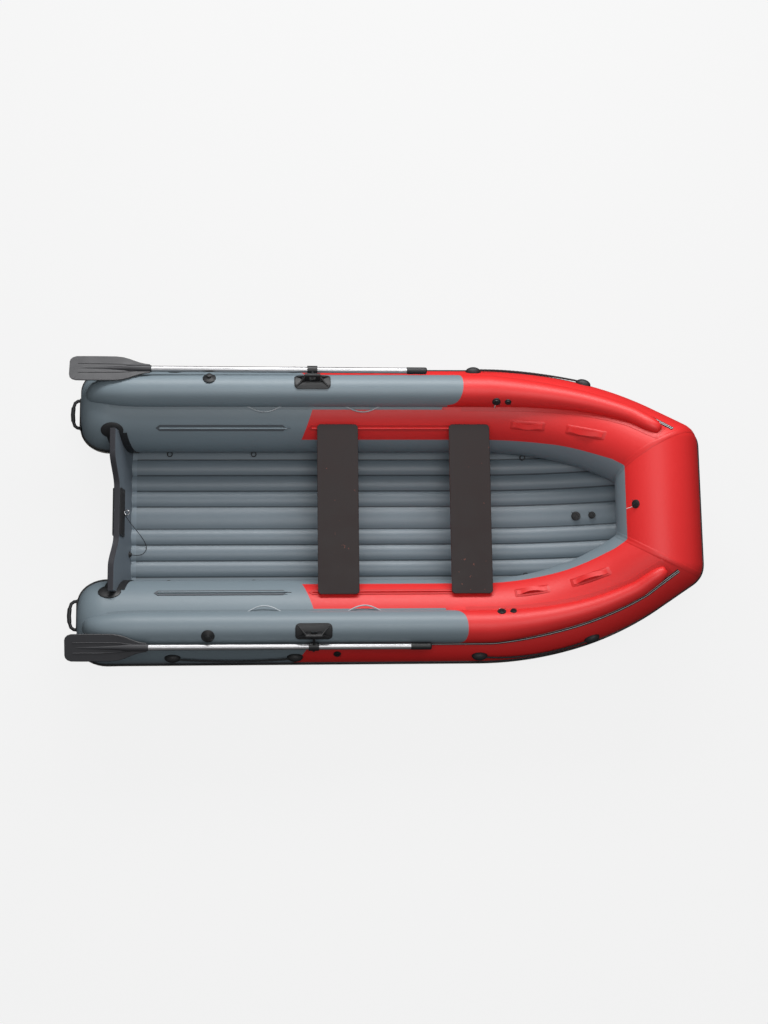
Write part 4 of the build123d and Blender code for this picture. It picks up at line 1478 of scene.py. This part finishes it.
def skin_patch(name, x, angle, half_size, side):
    """Thin patch of the hull's fabric glued on the tube, in a darker copy of that fabric as painted shade round
    the strap.
    """
    rows = []
    marks = []
    for share, lift in ((0.01, 1.0), (0.5, 1.0), (0.97, 1.0), (1.0, -0.4)):
        points = rounded(half_size[0] * share, half_size[1] * share, PATCH_CORNER * share, 4)
        turns = [(u, angle + math.degrees(v / TUBE_RADIUS)) for u, v in points]
        rows.append([sided(on_tube(x + u, turn, PATCH_HEIGHT * lift), side) for u, turn in turns])
        mark = [(x + u, math.radians(turn) * TUBE_RADIUS) for u, turn in turns]
        marks.append(mark + mark[:1])
    patch = grid(name, rows, marks, flip=side < 0, sharp=60.0)
    dressed(patch, "hull", "painted_shade_fabric", "pvc_tube")


def make_straps():
    for side, word in SIDES:
        for k, x in enumerate(AFT_STRAPS):
            skin_patch("aft_strap_patch_%s_%d" % (word, k), x, AFT_STRAP_ANGLE + 1.0, AFT_PATCH, side)
        loops = joined("strap_aft_skin_" + word, [loop_handle(x, side) for x in AFT_STRAPS])
        dressed(loops, "hull", "pale_trim", "pvc_grey_trim", "strap_aft_" + word)
        for k, x in enumerate(BOW_STRAPS):
            skin_patch("bow_strap_patch_%s_%d" % (word, k), x, BOW_STRAP_ANGLE, BOW_PATCH, side)
        bands = joined("strap_bow_skin_" + word, [webbing(x, side) for x in BOW_STRAPS])
        dressed(bands, "hull", "red_trim", "pvc_red_trim", "strap_bow_" + word)


# Bead rails' flat bases: name, both ends, finish and slot
RAIL_BASES = (
    ("aft", -1.317, -0.582, "dark_trim", "pvc_grey_trim"),
    ("mid", -0.440, 0.540, "deep_red_trim", "pvc_red_trim"),
)
RAIL_ANGLE = -37.0
RAIL_BASE_HALF = 0.0195
RAIL_POINT = 0.022


def rail_base(name, first, last, side):
    """Flat base with pointed ends."""
    rows = []
    for x in [first - RAIL_POINT] + spread(first, last, 30) + [last + RAIL_POINT]:
        half = RAIL_BASE_HALF if first <= x <= last else 0.001
        row = []
        for share, lift in ((-1.0, -0.001), (-0.94, 0.0036), (0.94, 0.0036), (1.0, -0.001)):
            angle = RAIL_ANGLE + math.degrees(half * share / TUBE_RADIUS)
            row.append(sided(on_tube(x, angle, lift), side))
        rows.append(row)
    return grid(name, rows, closed=False, flip=side < 0)


def make_rail_bases():
    for side, word in SIDES:
        for label, first, last, finish, slot in RAIL_BASES:
            base = rail_base("%s_rail_base_%s" % (label, word), first, last, side)
            dressed(base, "hull", finish, slot)


# Valves: flange, body and screwed cap, as a share of the radius and a height
VALVE = [
    (1.0, -0.004),
    (1.0, 0.002),
    (0.94, 0.004),
    (0.72, 0.005),
    (0.70, 0.009),
    (0.64, 0.011),
    (0.60, 0.011),
    (0.58, 0.0085),
    (0.30, 0.0085),
    (0.28, 0.0115),
    (0.14, 0.012),
    (0.0, 0.012),
]


def make_valve(hub, axis, radius):
    """Flange with the cap's grip across it and the cap's tail beside it."""
    across = axis.orthogonal().normalized()
    over = axis.cross(across)
    bar = [hub + axis * 0.0115 + across * (radius * 0.52 * k) for k in (-1.0, 1.0)]
    tail = []
    for k in (0.7, 0.95, 1.15, 1.3):
        bend = across * radius * 0.25 * (k - 0.9) ** 2
        tail.append(hub + axis * 0.006 + over * radius * k + bend)
    return [
        turned("flange", hub, axis, [(size * radius, height) for size, height in VALVE]),
        sweep("bar", bar, lambda s: radius * 0.085, 8),
        sweep("tail", tail, lambda s: radius * 0.06, 8),
    ]


# Stations and radii of the valves; the tags' angles are about the lobe
LOBE_VALVES = ((0.647, 0.025), (0.726, 0.019))
LOBE_VALVE_ANGLE = -55.0
LOBE_TAG = ((0.643, -62.0), (0.640, -76.0), (0.638, -88.0), (0.637, -98.0))
BOW_VALVE_LEAN = math.radians(43.0)
BOW_VALVE_Y = -0.020
BOW_VALVE_RADIUS = 0.025
BOW_TAG = (0.018, 0.030, 0.042, 0.054)
FLOOR_VALVES = ((1.118, 0.027), (1.208, 0.021))
FLOOR_VALVE_Y = -0.012
FLOOR_VALVE_TOP = 0.166
SIDE_FITTING_PLACE = (-0.300, 57.0)
SIDE_FITTING_RADIUS = 0.022
DRAIN_PLUG_PLACE = (-0.222, 0.200)
DRAIN_PLUG_RADIUS = 0.018


def make_lobe_valves():
    for side, word in SIDES:
        pieces = []
        for x, radius in LOBE_VALVES:
            section = Section(x)
            hub = sided(lobe_point(section, LOBE_VALVE_ANGLE), side)
            pieces += make_valve(hub, sided(section.outward(LOBE_VALVE_ANGLE), side), radius)
        tag = [sided(lobe_point(Section(x), angle, 0.006), side) for x, angle in LOBE_TAG]
        make_cord("valve_tag_" + word, tag, TAG_DIAMETER, "tag")
        moulded("bulwark_valves_skin_" + word, pieces, "bulwark_valves_" + word)


def make_bow_valve():
    axis = Vector((-math.sin(BOW_VALVE_LEAN), 0.0, math.cos(BOW_VALVE_LEAN)))
    over = Vector((math.cos(BOW_VALVE_LEAN), 0.0, math.sin(BOW_VALVE_LEAN)))
    middle = Vector((BOW_X, BOW_VALVE_Y, CORNER.z))
    foot = middle + Vector((0.0, -0.010, 0.0)) + axis * (TUBE_RADIUS + 0.004)
    tag = [foot - over * d + Vector((0.0, -0.15 * d, -0.35 * d)) for d in BOW_TAG]
    make_cord("bow_valve_tag", tag, TAG_DIAMETER, "tag")
    moulded("bow_valve_skin", make_valve(middle + axis * TUBE_RADIUS, axis, BOW_VALVE_RADIUS), "bow_valve")


def make_floor_valves():
    pieces = []
    reach = SHEER_RADIUS + TUBE_RADIUS - FLOOR_VALVE_TOP
    for x, radius in FLOOR_VALVES:
        rise = math.asin((x - BEND_X) / SHEER_RADIUS)
        hub = Vector((x, FLOOR_VALVE_Y, TUBE_RADIUS + SHEER_RADIUS - reach * math.cos(rise)))
        pieces += make_valve(hub, Vector((-math.sin(rise), 0.0, math.cos(rise))), radius)
    moulded("floor_valves_skin", pieces, "floor_valves")


def make_side_fitting():
    x, angle = SIDE_FITTING_PLACE
    section = Section(x)
    hub = mirrored(section.point(angle, TUBE_RADIUS))
    pieces = make_valve(hub, mirrored(section.outward(angle)), SIDE_FITTING_RADIUS)
    moulded("side_fitting_skin", pieces, "side_fitting")


def make_drain_plug():
    pieces = make_valve(on_board(*DRAIN_PLUG_PLACE, 0.0), BOARD_AHEAD, DRAIN_PLUG_RADIUS)
    moulded("drain_plug_skin", pieces, "drain_plug")


# Domes with the knob that the oar's strap hooks on
CLIP_X = -1.027
CLIP_ANGLE = 36.0
CLIP = [
    (0.038, -0.004),
    (0.038, 0.001),
    (0.034, 0.004),
    (0.026, 0.006),
    (0.020, 0.010),
    (0.013, 0.012),
    (0.012, 0.018),
    (0.016, 0.020),
    (0.016, 0.024),
    (0.012, 0.026),
    (0.0, 0.0265),
]


def make_paddle_clips():
    section = Section(CLIP_X)
    for side, word in SIDES:
        hub = sided(lobe_point(section, CLIP_ANGLE), side)
        clip = turned("paddle_clip_skin_" + word, hub, sided(section.outward(CLIP_ANGLE), side), CLIP)
        dressed(clip, "hull", "plastic", "black_plastic", "paddle_clip_" + word)


make_blades()
make_rowlock_pads()
make_stern_handles()
make_straps()
make_rail_bases()
make_lobe_valves()
make_bow_valve()
make_floor_valves()
make_side_fitting()
make_drain_plug()
make_paddle_clips()


# Pieces that keep the shapes of the construction

NODE_FINISHES = {
    "air_floor": "floor_cloth",
    "keel_strip": "rubber",
    "transom_eyebolt": "steel",
    "tow_ring": "steel",
    "seat_board_aft": "plywood",
    "seat_board_fore": "plywood",
    "seat_sliders_aft": "plastic",
    "seat_sliders_fore": "plastic",
}
SIDED_FINISHES = {
    "mid_rail": "red_trim",
    "aft_rail": "grey_cloth",
    "rowlock_yoke": "plastic",
    "oar_shaft": "aluminium",
    "oar_grip": "plastic",
    "rope_holders": "rubber",
    "eyelets": "plastic",
}


def finish_nodes():
    finishes = dict(NODE_FINISHES)
    for name, finish in SIDED_FINISHES.items():
        for _, word in SIDES:
            finishes["%s_%s" % (name, word)] = finish
    for name, finish in finishes.items():
        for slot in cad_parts[name].material_slots:
            slot.material = MATERIALS[finish]


finish_nodes()


# Floor, light and world


PAPER_REACH = 40.0
PAPER_GLOW = 0.85
FILL_LIGHT = 0.25
BACKDROP_GLOW = 0.70
SKY_COLOUR = (0.97, 0.985, 1.0, 1.0)


def make_stage():
    """Pale paper under the boat, lit for the camera alone."""
    mesh = bpy.data.meshes.new("studio_floor")
    corners = [(x * PAPER_REACH, y * PAPER_REACH, 0.0) for x, y in ((-1, -1), (1, -1), (1, 1), (-1, 1))]
    mesh.from_pydata(corners, [], [(0, 1, 2, 3)])
    floor = bpy.data.objects.new("studio_floor", mesh)
    bpy.context.collection.objects.link(floor)
    material = bpy.data.materials.new("studio_paper")
    material.use_nodes = True
    tree = material.node_tree
    shader = tree.nodes["Principled BSDF"]
    shader.inputs["Base Color"].default_value = (*PAPER, 1.0)
    shader.inputs["Roughness"].default_value = 0.9
    shader.inputs["Specular IOR Level"].default_value = 0.0
    shader.inputs["Emission Color"].default_value = (1.0, 1.0, 1.0, 1.0)
    rays = tree.nodes.new("ShaderNodeLightPath")
    glow = calc(tree, "MULTIPLY", rays.outputs["Is Camera Ray"], PAPER_GLOW)
    feed(tree, shader.inputs["Emission Strength"], glow)
    mesh.materials.append(material)


def make_world():
    world = bpy.data.worlds.new("studio")
    world.use_nodes = True
    tree = world.node_tree
    background = tree.nodes["Background"]
    rays = tree.nodes.new("ShaderNodeLightPath")
    shows = calc(tree, "MAXIMUM", rays.outputs["Is Camera Ray"], rays.outputs["Is Transmission Ray"])
    strength = calc(tree, "ADD", FILL_LIGHT, calc(tree, "MULTIPLY", shows, BACKDROP_GLOW))
    background.inputs["Color"].default_value = SKY_COLOUR
    feed(tree, background.inputs["Strength"], strength)
    bpy.context.scene.world = world


def make_light(name, place, aim, size, power):
    data = bpy.data.lights.new(name, "AREA")
    data.shape = "RECTANGLE"
    data.size, data.size_y = size
    data.energy = power
    light = bpy.data.objects.new(name, data)
    light.location = place
    direction = Vector(aim) - Vector(place)
    light.rotation_euler = direction.to_track_quat("-Z", "Y").to_euler()
    bpy.context.collection.objects.link(light)


make_stage()
make_world()
make_light("key_softbox", place=(0.3, 5.4, 4.3), aim=(0.0, 0.0, 0.3), size=(6.5, 2.0), power=490.0)
make_light("top_softbox", place=(0.2, -0.4, 7.5), aim=(0.0, 0.0, 0.0), size=(4.5, 2.4), power=165.0)

bpy.context.scene.view_settings.view_transform = "Standard"
